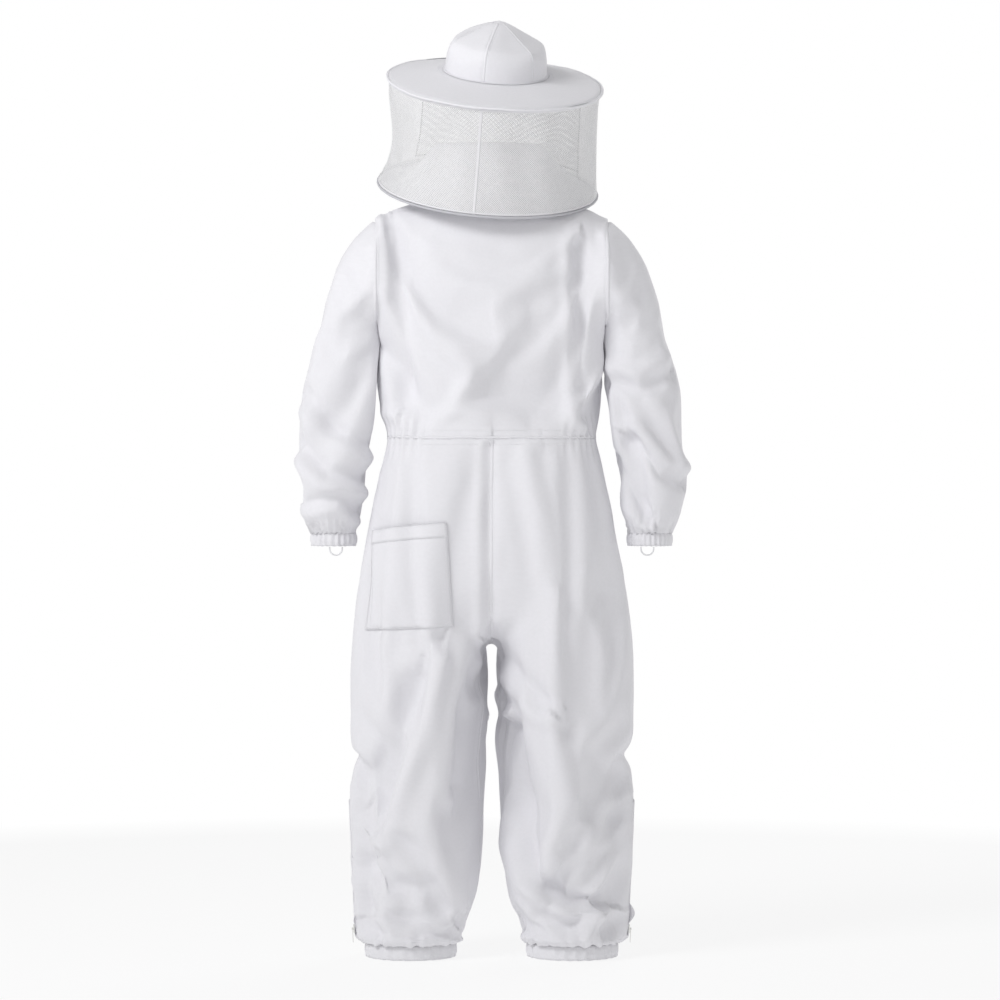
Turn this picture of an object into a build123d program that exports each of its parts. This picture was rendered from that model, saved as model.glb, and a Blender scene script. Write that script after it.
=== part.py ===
"""Beekeeping suit: cotton coverall with a zip-on hat and veil, shaped as it hangs when worn.

Units are millimetres, +Z is up, the front of the suit faces -Y and the wearer's left is +X.
The origin is the centre of the neck opening, on the seam where the collar joins the bodice.
"""

import os
from math import atan, cos, degrees, radians, sin

from build123d import *

# ---------------------------------------------------------------- driving dimensions
CLOTH = 2.0  # wall of the suit's cloth, with its folded layers
MESH = 1.0  # wall of the veil's netting
JOIN_GAP = 0.3  # gap left between neighbouring panels

COLLAR_R = 86.0  # outside radius of the stand collar
COLLAR_H = 45.0  # height of the stand collar
FRONT_LEAN = 0.05  # how far the front leans out, per mm down from the collar's top
TAPE_HALF = 16.0  # half the width of a closed zip, tapes included

WAIST_Z = -484.0  # waist seam
CROTCH_Z = -862.0
HEM_TOP_Z = -1452.0  # top of the ankle casing
HEM_H = 28.0  # height of the ankle casing
SIDE_Y = 15.0  # side seams lie in this plane, between front and back panels

ARMHOLE_R = 105.0
ARMHOLE_X = 220.0  # plane of the armhole seam
ARMHOLE_Z = -175.0
CUFF_X = 303.0
CUFF_TOP_Z = -668.0
CUFF_H = 25.0
WRIST_R = 38.0  # inside radius of the gathered cuff
ANKLE_R = 82.0  # inside radius of the gathered hem
ANKLE_X = 155.0
CASING = 5.0  # wall of a casing with its elastic inside

VEIL_TILT = 18.0  # the hat and veil lean back by this many degrees
VEIL_ROLL = -4.0  # and a little to the wearer's right
VEIL_TURN = -7.0  # the veil's back seam is turned about the axis
CROWN_TURN = -14.0  # and so are the crown's seams
HOOP_R = 212.0  # lower hoop
HOOP_AT = (8.0, -48.0, -4.0)  # centre of the lower hoop
VEIL_H = 206.0  # from the lower hoop to the brim's edge
BRIM_R = 206.0
BRIM_DROP = 20.0  # the brim's edge hangs this far below the crown's foot
CROWN_R = 101.0
CROWN_WALL_H = 66.0
CROWN_H = 102.0
WINDOW_HALF = 50.0  # half the angle of the face window

TOOTH_GAP = 0.8  # half the gap that a slider's post runs in
TOOTH_W = 3.2
PIN_R = 0.7
PIN_CLEARANCE = 0.08

# ---------------------------------------------------------------- helpers
def front_y(z):
    """Front of the bodice and trousers at height z, on the straight line of the front zip."""
    return -COLLAR_R - FRONT_LEAN * (COLLAR_H - z)


def block(x0, x1, y0, y1, z0, z1):
    """Box between two corners."""
    return Pos((x0 + x1) / 2, (y0 + y1) / 2, (z0 + z1) / 2) * Box(x1 - x0, y1 - y0, z1 - z0)


def tube(outer, inner, z0, z1):
    """Upright ring between two radii and two heights."""
    body = Pos(0, 0, (z0 + z1) / 2) * Cylinder(outer, z1 - z0)
    return body - Pos(0, 0, (z0 + z1) / 2) * Cylinder(inner, z1 - z0 + 2)


def hoop(ring_r, wire_r, z=0.0):
    return Pos(0, 0, z) * Torus(ring_r, wire_r)


def mirrored(shape):
    return mirror(shape, Plane.YZ)


def save(name, shape):
    """Writes one node; shape is one shape or a list of separate ones."""
    pieces = shape if isinstance(shape, (list, tuple)) else [shape]
    solids = [s for piece in pieces for s in piece.solids()]
    node = solids[0] if len(solids) == 1 else Compound(children=solids)
    node.label = name
    export_step(node, f"parts/{name}.step")
    print(f"{name:24s} {len(solids)} solids")


def box_section(z, half_w, front, back, corner):
    """Rounded rectangle at height z, from front to back."""
    depth = back - front
    return Pos(0, (front + back) / 2, z) * RectangleRounded(2 * half_w, depth, corner)


# ---------------------------------------------------------------- bodice
# height, half width, back, corner radius
BODICE = [
    (WAIST_Z, 196, 142, 100),
    (-325, 206, 164, 104),
    (-175, 211, 170, 106),
    (-105, 198, 146, 104),
    (-50, 146, 104, 92),
    (-0.5, 86, 86, 82),
]


def bodice_solid(grow, over=0.0):
    """Filled bodice, grown by grow all round and by over past its two ends."""
    rows = [[z, w + grow, front_y(z) - grow, b + grow, c + grow] for z, w, b, c in BODICE]
    rows[0][0] -= over
    rows[-1][0] += over
    body = loft([box_section(*row) for row in rows], ruled=True)
    stub_len = 2 * (ARMHOLE_X + over)
    stub = Pos(0, SIDE_Y, ARMHOLE_Z) * Rot(Y=90) * Cylinder(ARMHOLE_R + grow, stub_len)
    return body + stub


def zip_slot(z0, z1):
    """Space that the front zip takes out of the panels."""
    half = TAPE_HALF + JOIN_GAP
    return block(-half, half, -200, 0, z0, z1)


def make_bodice():
    shell = bodice_solid(0) - bodice_solid(-CLOTH, over=4)
    back = shell & block(-300, 300, SIDE_Y, 300, -600, 50)
    front = shell & block(0, 300, -300, SIDE_Y - JOIN_GAP, -600, 50)
    front = front - zip_slot(-600, 50)
    save("back_bodice", back)
    save("front_bodice_left", front)
    save("front_bodice_right", mirrored(front))


# ---------------------------------------------------------------- trousers
# height, inner side, outer side, front, back, inner corner, outer corner; front None is the zip's line
TROUSER = [
    (WAIST_Z - JOIN_GAP, -1, 196, None, 142, 0.5, 100),
    (-575, -1, 224, None, 152, 0.5, 108),
    (-665, -1, 240, None, 158, 0.5, 114),
    (-800, -1, 256, None, 155, 0.5, 122),
    (CROTCH_Z, 0.3, 263, -123, 150, 90, 126),
    (-1000, 11, 267, -116, 146, 122, 122),
    (-1175, 22, 274, -113, 143, 122, 122),
    (-1443, 50, 262, -95, 125, 104, 104),
    (HEM_TOP_Z + JOIN_GAP, ANKLE_X - 87, ANKLE_X + 87, SIDE_Y - 87, SIDE_Y + 87, 86, 86),
]


def leg_section(z, x0, x1, y0, y1, inner_corner, outer_corner):
    """Rectangle at height z with its own corner radius on each side."""
    face = Pos((x0 + x1) / 2, (y0 + y1) / 2) * Rectangle(x1 - x0, y1 - y0)
    face = fillet(face.vertices().sort_by(Axis.X)[:2], inner_corner)
    face = fillet(face.vertices().sort_by(Axis.X)[-2:], outer_corner)
    return Pos(0, 0, z) * face


def trouser_solid(grow, over=0.0):
    """Filled left half, grown by grow all round and by over past the waist and the hem."""
    sections = []
    for z, x0, x1, y0, y1, inner, outer in TROUSER:
        y0 = front_y(z) if y0 is None else y0
        open_side = x0 < 0
        x0 = x0 + min(grow, 0) * 2 if open_side else x0 - grow
        inner = inner if open_side else inner + grow
        height = z + over if z > WAIST_Z - 1 else z
        height = height - over if z < HEM_TOP_Z + 1 else height
        sections.append(leg_section(height, x0, x1 + grow, y0 - grow, y1 + grow, inner, outer + grow))
    return loft(sections, ruled=True)


def make_trousers():
    shell = trouser_solid(0) - trouser_solid(-CLOTH, over=4)
    shell = shell & block(JOIN_GAP / 2, 400, -400, 400, -1600, 0)
    shell = shell - ankle_zip_slot()
    back = shell & block(-5, 400, SIDE_Y, 400, -1600, 0)
    front = shell & block(-5, 400, -400, SIDE_Y - JOIN_GAP, -1600, 0)
    front = front - zip_slot(FRONT_ZIP_END - 3, 0)
    for name, panel in (("back", back), ("front", front)):
        save(f"{name}_trouser_left", panel)
        save(f"{name}_trouser_right", mirrored(panel))


# ---------------------------------------------------------------- zips
FRONT_ZIP_END = -760.0
ANKLE_ZIP_TOP = (273.8, -1180.0)  # x and z of the side zip's top
ANKLE_ZIP_FOOT = (262.1, -1440.0)
ANKLE_TAPE_HALF = 12.0


def front_zip_place():
    """Frame of the front zip: local Z runs up the zip, local -Y faces out."""
    return Pos(0, -COLLAR_R, COLLAR_H) * Rot(X=-degrees(atan(FRONT_LEAN)))


def ankle_zip_lean():
    run = ANKLE_ZIP_TOP[0] - ANKLE_ZIP_FOOT[0]
    return degrees(atan(run / (ANKLE_ZIP_TOP[1] - ANKLE_ZIP_FOOT[1])))


def ankle_zip_place():
    """Frame of the left ankle zip: local Z runs up the zip from its foot, local -Y faces out to +X."""
    return Pos(ANKLE_ZIP_FOOT[0], SIDE_Y, ANKLE_ZIP_FOOT[1]) * Rot(Y=ankle_zip_lean()) * Rot(Z=90)


def ankle_zip_length():
    return (ANKLE_ZIP_TOP[1] - ANKLE_ZIP_FOOT[1]) / cos(radians(ankle_zip_lean()))


def ankle_zip_slot():
    half = ANKLE_TAPE_HALF + JOIN_GAP
    return block(200, 320, SIDE_Y - half, SIDE_Y + half, ANKLE_ZIP_FOOT[1] - 1, ANKLE_ZIP_TOP[1] + 1)


def zip_tapes(half, z0, z1):
    """Both tapes of a straight zip, in the zip's own frame."""
    right = block(TOOTH_GAP + TOOTH_W, half, 0.1, 1.1, z0, z1)
    return [right, mirrored(right)]


def zip_teeth(z0, z1):
    """Both rows of teeth of a straight zip, as two continuous strips."""
    right = block(TOOTH_GAP, TOOTH_GAP + TOOTH_W, -0.8, 2.0, z0, z1)
    return [right, mirrored(right)]


PULL_L = 26.0
PIN_Y = -4.4


def slider(back_right=6.0):
    """Zip slider about its own middle: two plates, the post between the rows, and the pull's lug."""
    front = block(-6, 6, -2.7, -1.3, -8, 8)
    lips = block(5.2, 6, -1.3, -0.4, -8, 8) + block(-6, -5.2, -1.3, -0.4, -8, 8)
    back = block(-6, back_right, 2.5, 3.7, -8, 8)
    post = block(-0.45, 0.45, -1.3, 2.5, 3, 7)
    lug = block(-1.8, 1.8, PIN_Y - 1.6, -2.7, -2.2, 2.2)
    hole = Pos(0, PIN_Y, 0) * Rot(Y=90) * Cylinder(PIN_R + PIN_CLEARANCE, 10)
    return front + lips + back + post + (lug - hole)


def pull():
    """Pull tab that hangs on the slider's lug by its pin, along local -Z."""
    pin = Pos(0, PIN_Y, 0) * Rot(Y=90) * Cylinder(PIN_R, 5.6)
    arm = block(2.4, 3.5, PIN_Y - 0.7, PIN_Y + 0.7, -6, 1.2)
    tab = block(-3.5, 3.5, PIN_Y - 0.7, PIN_Y + 0.7, -PULL_L, -6)
    slot = block(-1.5, 1.5, PIN_Y - 2, PIN_Y + 2, -PULL_L + 4, -PULL_L + 13)
    return pin + arm + mirrored(arm) + (tab - slot)


FRONT_SLIDER_Z = -14.0  # along the front zip, from the collar's top
ANKLE_SLIDER_Z = 12.0  # along the ankle zip, from its foot
NECK_TEETH_Z = COLLAR_H + 12.5 + TOOTH_GAP  # middle of the neck zip
NECK_TEETH_R = 85.0
NECK_SLIDER_ANGLE = 7.0  # each neck slider rests this far from the front, in degrees


def neck_slider_place(side):
    """Frame of a neck slider at the front: local Z points along the ring away from the front centre."""
    angle = -90 + side * NECK_SLIDER_ANGLE
    along = Rot(Z=angle) * Pos(NECK_TEETH_R + 0.6, 0, NECK_TEETH_Z) * Rot(Z=90)
    return along * Rot(Y=90) if side > 0 else along * Rot(Y=-90)


def make_zips():
    place = front_zip_place()
    length = COLLAR_H - FRONT_ZIP_END
    save("front_zip_tapes", [place * t for t in zip_tapes(TAPE_HALF, -length, -1)])
    stop = place * block(-4, 4, -0.8, 2.0, -length - 2.5, -length)
    save("front_zip_teeth", [place * t for t in zip_teeth(-length, -1)] + [stop])
    at = place * Pos(0, 0, FRONT_SLIDER_Z)
    save("front_zip_slider", at * slider())
    save("front_zip_pull", at * pull())

    ankle = ankle_zip_place()
    rows = zip_tapes(ANKLE_TAPE_HALF, 0, ankle_zip_length()) + zip_teeth(0, ankle_zip_length())
    at = ankle * Pos(0, 0, ANKLE_SLIDER_Z)
    flip = {"left": lambda shape: shape, "right": mirrored}
    for side, turn in flip.items():
        save(f"ankle_zip_{side}", [turn(ankle * row) for row in rows])
        save(f"ankle_zip_slider_{side}", turn(at * slider()))
        save(f"ankle_zip_pull_{side}", turn(at * pull()))

    lower_top = NECK_TEETH_Z - TOOTH_GAP
    upper_foot = NECK_TEETH_Z + TOOTH_GAP
    lower = [tube(85.2, 84.2, COLLAR_H, lower_top - 2.5), tube(86.4, 83.6, lower_top - 2.5, lower_top)]
    upper = [tube(86.4, 83.6, upper_foot, upper_foot + 2.5), tube(85.2, 84.2, upper_foot + 2.5, SKIRT_TOP_Z)]
    save("neck_zip_lower", lower)
    save("neck_zip_upper", upper)
    for side, sign in (("left", 1), ("right", -1)):
        at = neck_slider_place(sign)
        # the back plate stays below the post, so that the upper row can lift away
        body = slider(back_right=0.45) if sign < 0 else mirrored(slider(back_right=0.45))
        save(f"neck_zip_slider_{side}", at * body)
        save(f"neck_zip_pull_{side}", at * mirror(pull(), Plane.XY))


# ---------------------------------------------------------------- collar, waist and hems
def make_collar():
    band = tube(COLLAR_R, COLLAR_R - CLOTH, 0, COLLAR_H - JOIN_GAP) - zip_slot(-5, 60)
    save("collar", band)
    loop_r = 77.0
    sector = Rot(Z=90 - 17) * revolve(
        Plane.XZ * Pos(loop_r, 24) * Rectangle(1.2, 7), Axis.Z, 34
    )
    ends = []
    for angle in (90 - 16, 90 + 16):
        ends.append(Rot(Z=angle) * block(loop_r, COLLAR_R - CLOTH - 0.05, -2, 2, 20.5, 27.5))
    save("hanger_loop", sector + ends[0] + ends[1])


def waist_ring(outset, inset, z0, z1):
    """Ring inside the waist, between two insets from the outside of the cloth."""
    def section(z, inset_by):
        half_w, back, corner = 196 - inset_by, 142 - inset_by, 100 - inset_by
        return box_section(z, half_w, front_y(WAIST_Z) + inset_by, back, corner)

    outer = extrude(section(z0, outset), z1 - z0)
    inner = extrude(section(z0 - 1, inset), z1 - z0 + 2)
    return outer - inner


def make_waist():
    casing = waist_ring(3.2, 7.2, WAIST_Z - 16, WAIST_Z + 16) - zip_slot(-600, 0)
    cavity = waist_ring(4.2, 6.2, WAIST_Z - 13, WAIST_Z + 13)
    elastic = waist_ring(4.4, 6.0, WAIST_Z - 12, WAIST_Z + 12)
    side = block(70, 300, -70, 110, -600, 0)
    casing = casing - (cavity & side) - (cavity & mirrored(side))
    side = block(71, 300, -69, 109, -600, 0)
    save("waist_casing", casing)
    save("waist_elastics", [elastic & side, elastic & mirrored(side)])


def casing_and_elastic(inner_r, height):
    """Hem casing standing on z = 0 with a channel, and the elastic band in it."""
    outer_r = inner_r + CASING
    channel = tube(outer_r - 1.2, inner_r + 1.2, 4, height - 4)
    band = tube(outer_r - 1.5, inner_r + 1.5, 4.5, height - 4.5)
    return tube(outer_r, inner_r, 0, height) - channel, band


def make_hems():
    casing, band = casing_and_elastic(ANKLE_R, HEM_H)
    at = Pos(ANKLE_X, SIDE_Y, HEM_TOP_Z - HEM_H)
    save("ankle_casing_left", at * casing)
    save("ankle_casing_right", mirrored(at * casing))
    save("ankle_elastics", [at * band, mirrored(at * band)])
    # storm flap behind the ankle zip, with its free corner standing out past the leg
    flap = ankle_zip_place() * block(-14, 14, 4.2, 5.4, 4, ankle_zip_length() - 4)
    save("ankle_flap_left", flap)
    save("ankle_flap_right", mirrored(flap))


# ---------------------------------------------------------------- sleeves
BEND_X = 213.0  # line that the sleeve's sections turn about, under the arm
BEND_Z = -292.0
# turn of the section from upright in degrees, outer end, inner end, half depth
SHOULDER = [(30, 149, 9, 98), (60, 116, 9, 91), (90, 118, 9.5, 86)]
# height, inner side, outer side, half depth
SLEEVE = [
    (-400, 222, 352, 84),
    (-487, 226, 364, 82),
    (-575, 238, 374, 80),
    (-645, 250, 358, 62),
    (CUFF_TOP_Z + JOIN_GAP, CUFF_X - 42.5, CUFF_X + 42.5, 43),
]


def sleeve_sections(grow, over):
    """Ovals across the sleeve from the armhole to the cuff, each with its long axis along Y."""
    places = [(ARMHOLE_X + 1 - over, SIDE_Y, ARMHOLE_Z, 0.0, ARMHOLE_R, ARMHOLE_R)]
    for turn, outer, inner, depth in SHOULDER:
        a = radians(turn)
        mid = (outer + inner) / 2
        x, z = BEND_X + mid * sin(a), BEND_Z + mid * cos(a)
        places.append((x, SIDE_Y, z, turn, depth, (outer - inner) / 2))
    for z, inner, outer, depth in SLEEVE:
        places.append(((inner + outer) / 2, SIDE_Y, z, 90.0, depth, (outer - inner) / 2))
    x, y, z, turn, depth, half = places[-1]
    places[-1] = (x, y, z - over, turn, depth, half)
    sections = []
    for x, y, z, turn, depth, half in places:
        across = (cos(radians(turn)), 0, -sin(radians(turn)))
        plane = Plane(origin=(x, y, z), x_dir=(0, 1, 0), z_dir=across)
        sections.append(plane * Ellipse(depth + grow + 0.01, half + grow))
    return sections


def sleeve_solid(grow, over=0.0):
    """Filled sleeve, grown by grow all round and by over past its two ends."""
    sections = sleeve_sections(grow, over)
    spans = [loft([low, high]) for low, high in zip(sections[:-1], sections[1:])]
    body = spans[0]
    for span in spans[1:]:
        body = body + span
    return body


def thumb_loop():
    """Elastic cord loop that hangs below the cuff's edge, in the plane across the arm."""
    cord = Plane.XZ * Pos(12, 0) * Circle(1.5)
    half = Rot(Z=180) * revolve(cord, Axis.Z, 180)
    legs = [Pos(x, 2, 0) * Rot(X=90) * Cylinder(1.5, 4) for x in (-12, 12)]
    return Rot(X=90) * (half + legs[0] + legs[1])


def make_sleeves():
    shell = sleeve_solid(0) - sleeve_solid(-CLOTH, over=4)
    shell = shell & block(ARMHOLE_X + 0.6, 500, -300, 300, -900, 0)
    casing, band = casing_and_elastic(WRIST_R, CUFF_H)
    foot = CUFF_TOP_Z - CUFF_H
    at = Pos(CUFF_X, SIDE_Y, foot)
    loop = Pos(CUFF_X - 6, SIDE_Y + WRIST_R + CASING / 2, foot - 4.1) * thumb_loop()
    for side, turn in (("left", lambda s: s), ("right", mirrored)):
        save(f"sleeve_{side}", turn(shell))
        save(f"cuff_casing_{side}", turn(at * casing))
        save(f"cuff_elastic_{side}", turn(at * band))
        save(f"thumb_loop_{side}", turn(loop))


# ---------------------------------------------------------------- pockets
POCKET_DEPTH = 12.0  # room between the pocket and the cloth behind it
POCKET_WALL = 1.6


def curved_pocket(solid_at, x0, x1, y0, y1, z0, z1):
    """Pouch that follows a solid's surface, open at the top."""
    wall = POCKET_WALL
    region = block(x0, x1, y0, y1, z0, z1)
    room = block(x0 + wall, x1 - wall, y0, y1, z0 + wall, z1 + 5)
    skin = solid_at(POCKET_DEPTH + wall) - solid_at(0.1)
    hollow = solid_at(POCKET_DEPTH) & room
    return (skin & region) - hollow


def flat_pocket(solid, x0, x1, z0, z1, depth):
    """Patch pocket on the front, parallel to the front zip, open at the top."""
    wall = POCKET_WALL
    place = front_zip_place()
    outer = place * block(x0, x1, -depth - wall, 40, z0, z1)
    room = place * block(x0 + wall, x1 - wall, -depth, 60, z0 + wall, z1 + 5)
    return outer - room - solid


CHEST = (40, 158, -345, -205)  # x from, x to, and from and to along the front zip
HIP = (62, 196, -765, -600)
FLAP_RISE = 10.0  # the flap is sewn on this far above the pocket
FLAP_DROP = 42.0


def make_pockets():
    back = curved_pocket(trouser_solid, 74, 238, SIDE_Y + 8, 300, -843, -642)
    save("back_pocket", back)
    bodice = bodice_solid(0.1)
    x0, x1, z0, z1 = CHEST
    save("chest_pocket", flat_pocket(bodice, x0, x1, z0, z1, 8.0))
    top = z1 + FLAP_RISE
    plate = block(x0 - 2, x1 + 2, -12.6, -11.2, top - FLAP_DROP, top)
    root = block(x0 - 2, x1 + 2, -12.6, -0.8, top - 1.4, top)
    save("chest_pocket_flap", front_zip_place() * (plate + root))
    x0, x1, z0, z1 = HIP
    hip = flat_pocket(trouser_solid(0.1), x0, x1, z0, z1, 11.0)
    save("hip_pockets", [hip, mirrored(hip)])


# ---------------------------------------------------------------- hat and veil
SKIRT_TOP_Z = 71.4
SKIRT_NECK_R = 112.0  # the skirt runs level from the neck zip out to here, over the pulls


def veil_place(turn=0.0):
    """Frame of the hat and veil: origin at the lower hoop's centre, local Z up its axis."""
    return Pos(*HOOP_AT) * Rot(X=-VEIL_TILT) * Rot(Y=VEIL_ROLL) * Rot(Z=turn)


def turned(points, arc):
    """Solid from a profile of (radius, height) points turned about Z by arc degrees, from +X."""
    face = make_face(Polyline(*[(r, 0, z) for r, z in points], close=True))
    return revolve(face, Axis.Z, arc)


MESH_TOP = (202.0, VEIL_H - 2.4)  # radius and height of the netting's top edge, outside
MESH_FOOT = (211.0, 3.4)


def mesh_wall(inset, outset, start, arc):
    """Sector of the veil's wall, between two offsets from its outside."""
    (r1, z1), (r0, z0) = MESH_TOP, MESH_FOOT
    profile = [(r0 - inset, z0), (r0 + outset, z0), (r1 + outset, z1), (r1 - inset, z1)]
    return Rot(Z=start) * turned(profile, arc)


def crown_profile():
    """Closed profile of the crown's cloth: a wall that leans in, a rounded shoulder and a low peak."""
    foot_z = VEIL_H + BRIM_DROP + 3.4
    shoulder_r = CROWN_R - 21

    def skin(inset):
        low = (CROWN_R - inset, 0, foot_z)
        mid = (CROWN_R - 6 - inset, 0, foot_z + CROWN_WALL_H * 0.5)
        bend = (shoulder_r - inset, 0, foot_z + CROWN_WALL_H - inset * 0.5)
        halfway = (shoulder_r * 0.5, 0, foot_z + (CROWN_WALL_H + CROWN_H) / 2 + 5 - inset)
        top = (0.6, 0, foot_z + CROWN_H - inset)
        return ThreePointArc(low, mid, bend), ThreePointArc(bend, halfway, top)

    outer, inner = skin(0), skin(1.6)
    foot = Line(outer[0] @ 0, inner[0] @ 0)
    tip = Line(outer[1] @ 1, inner[1] @ 1)
    return make_face(Wire([*outer, tip, *inner, foot]))


def brim_ring(inner_r, outer_r, low, high):
    """Ring of the sloping brim, between two heights above its underside at the edge."""
    slope = BRIM_DROP / (BRIM_R - CROWN_R)

    def at(r, z):
        return (r, VEIL_H + (BRIM_R - r) * slope + z)

    return turned([at(inner_r, low), at(outer_r, low), at(outer_r, high), at(inner_r, high)], 360)


STRAP_R = 91.4  # inside of the rear head strap
STRAP_T = 1.4
STRAP_Z = VEIL_H - 34.0
SWEATBAND_T = 2.0


def strap_piece(start, arc, z0, z1):
    """Sector of the rear head strap's wall, from start degrees."""
    profile = [(STRAP_R, z0), (STRAP_R + STRAP_T, z0), (STRAP_R + STRAP_T, z1), (STRAP_R, z1)]
    return Rot(Z=start) * turned(profile, arc)


def make_hat():
    place = veil_place(CROWN_TURN)
    panel = revolve(crown_profile(), Axis.Z, 60)
    save("crown_panels", [place * Rot(Z=90 + 60 * i) * panel for i in range(6)])
    band_r = STRAP_R + STRAP_T + SWEATBAND_T
    foot_z = VEIL_H + BRIM_DROP
    save("sweatband", place * tube(band_r, STRAP_R + STRAP_T + 0.05, foot_z - 4, foot_z + 24))
    strap = strap_piece(30, 120, STRAP_Z, STRAP_Z + 8)
    for start in (30, 145.4):
        strap += strap_piece(start, 4.6, STRAP_Z + 8, foot_z + 10)
    save("rear_head_strap", place * strap)

    edge_r = BRIM_R - 2
    upper = brim_ring(CROWN_R - 1.6, edge_r, 2, 2.8)
    lower = brim_ring(CROWN_R - 1.6, edge_r, -0.8, 0)
    save("brim_cloth", [place * upper, place * lower])
    save("brim_stiffener", place * brim_ring(CROWN_R, BRIM_R - 4, 0.05, 1.95))
    save("brim_wire", place * hoop(BRIM_R, 1.4, VEIL_H + 1))
    centre = Pos(BRIM_R, VEIL_H + 1)
    section = centre * Circle(3.0) - centre * Circle(1.45)
    section = section - Pos(BRIM_R - 5, VEIL_H + 1.2) * Rectangle(6.2, 4.2)
    save("brim_binding", place * revolve(Plane.XZ * section, Axis.Z))


def make_veil():
    place = veil_place(VEIL_TURN)
    side_arc = 180 - WINDOW_HALF
    save("veil_mesh_left", place * mesh_wall(MESH, 0, -90 + WINDOW_HALF, side_arc))
    save("veil_mesh_right", place * mesh_wall(MESH, 0, 90, side_arc))
    save("veil_window", place * mesh_wall(MESH, 0, -90 - WINDOW_HALF, 2 * WINDOW_HALF))
    strips = [place * mesh_wall(-0.05, 0.8, -90 + s * WINDOW_HALF - 0.8, 1.6) for s in (-1, 1)]
    save("window_piping", strips)
    save("back_seam_tape", place * mesh_wall(-0.05, 0.8, 88.8, 2.4))
    save("hoop_wire", place * hoop(HOOP_R, 1.5))
    save("hoop_binding", place * (hoop(HOOP_R, 3.2) - hoop(HOOP_R, 1.55)))

    cone = loft([veil_place() * Circle(HOOP_R - 4.2), Pos(0, 0, SKIRT_TOP_Z) * Circle(SKIRT_NECK_R)])
    drop = Pos(0, 0, -CLOTH)
    under_hoop = drop * veil_place() * Pos(0, 0, -20) * Cylinder(HOOP_R, 40)
    neck_hole = Pos(0, 0, SKIRT_TOP_Z) * Cylinder(85.3, 30)
    save("veil_skirt", cone - drop * cone - under_hoop - neck_hole)


if __name__ == "__main__":
    os.makedirs("parts", exist_ok=True)
    make_bodice()
    make_trousers()
    make_zips()
    make_collar()
    make_waist()
    make_hems()
    make_sleeves()
    make_pockets()
    make_hat()
    make_veil()
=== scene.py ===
"""Looks of the beekeeping suit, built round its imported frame.

Metres, +Z up, the front faces -Y and the wearer's left is +X. The origin is the centre of the neck
opening. Rest positions are those of the sewn suit before its cloth falls.
"""

import math

import bmesh
import bpy
import numpy as np
from mathutils import Matrix, Vector
from mathutils.bvhtree import BVHTree


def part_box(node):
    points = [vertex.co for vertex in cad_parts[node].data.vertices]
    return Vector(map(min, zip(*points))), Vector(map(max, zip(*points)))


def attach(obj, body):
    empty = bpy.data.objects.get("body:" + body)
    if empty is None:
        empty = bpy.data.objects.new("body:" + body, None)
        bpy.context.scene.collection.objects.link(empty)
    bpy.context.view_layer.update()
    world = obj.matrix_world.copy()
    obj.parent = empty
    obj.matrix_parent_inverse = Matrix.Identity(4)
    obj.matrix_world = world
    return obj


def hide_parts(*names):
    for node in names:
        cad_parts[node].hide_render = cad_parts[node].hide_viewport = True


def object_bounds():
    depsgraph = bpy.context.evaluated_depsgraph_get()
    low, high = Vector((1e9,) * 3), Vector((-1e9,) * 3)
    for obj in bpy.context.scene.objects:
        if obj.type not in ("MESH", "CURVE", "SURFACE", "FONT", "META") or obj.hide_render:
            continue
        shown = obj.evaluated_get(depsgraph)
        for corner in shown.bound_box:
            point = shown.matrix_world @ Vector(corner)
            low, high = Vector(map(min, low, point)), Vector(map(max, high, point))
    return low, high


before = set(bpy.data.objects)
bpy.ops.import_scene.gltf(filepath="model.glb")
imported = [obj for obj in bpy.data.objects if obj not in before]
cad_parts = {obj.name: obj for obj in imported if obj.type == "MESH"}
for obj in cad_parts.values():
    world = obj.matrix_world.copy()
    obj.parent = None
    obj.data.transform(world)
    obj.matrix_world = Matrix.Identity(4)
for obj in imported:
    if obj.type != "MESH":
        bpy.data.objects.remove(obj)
cad_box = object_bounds()
scene = bpy.context.scene
rng = np.random.default_rng(7)

# ---------------------------------------------------------------- driving places, from the frame
COLLAR_LO, COLLAR_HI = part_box("collar")
NECK_R = COLLAR_HI.x  # outside of the stand collar
COLLAR_H = COLLAR_HI.z + 0.0003
WAIST_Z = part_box("back_bodice")[0].z
CROTCH_Z = -0.862
SEAM_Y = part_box("back_bodice")[0].y  # side seams lie in this plane
HEM_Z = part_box("ankle_casing_left")[1].z
HEM_X = sum(v.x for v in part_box("ankle_casing_left")) / 2
HEM_R = (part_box("ankle_casing_left")[1].x - HEM_X) - 0.0005
HEM_H = HEM_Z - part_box("ankle_casing_left")[0].z
CUFF_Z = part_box("cuff_casing_left")[1].z
CUFF_X = sum(v.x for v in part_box("cuff_casing_left")) / 2
CUFF_R = (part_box("cuff_casing_left")[1].x - CUFF_X) - 0.0005
CUFF_H = CUFF_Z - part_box("cuff_casing_left")[0].z
ARM_X = 0.2203  # plane of the armhole seam
ARM_Z = -0.175
ARM_R = 0.101
UNDERARM_Z = -0.40  # sleeve and trunk are apart below this
FRONT_LEAN = 0.05  # how far the front leans out, per metre down from the collar's top
ZIP_HALF = 0.016  # half the front zip's width, tapes included
FRONT_ZIP_END = -0.759
ANKLE_TAPE_HALF = 0.012
ANKLE_TOP = (0.2738, -1.180)  # x and z of the side zip's top
ANKLE_FOOT = (0.2621, -1.440)
HOOP_LO, HOOP_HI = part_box("hoop_wire")
HOOP_AT = (HOOP_LO + HOOP_HI) / 2
HOOP_R = 0.212
BRIM_R = 0.206
BRIM_DROP = 0.020
CROWN_R = 0.101
CROWN_FOOT_R = 0.0975  # the crown's cloth, just inside the brim's opening
CROWN_H = 0.102
VEIL_H = 0.206  # from the lower hoop to the brim's edge
VEIL_TILT, VEIL_ROLL, VEIL_TURN, CROWN_TURN = -18, -4, -7, -14
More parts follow.
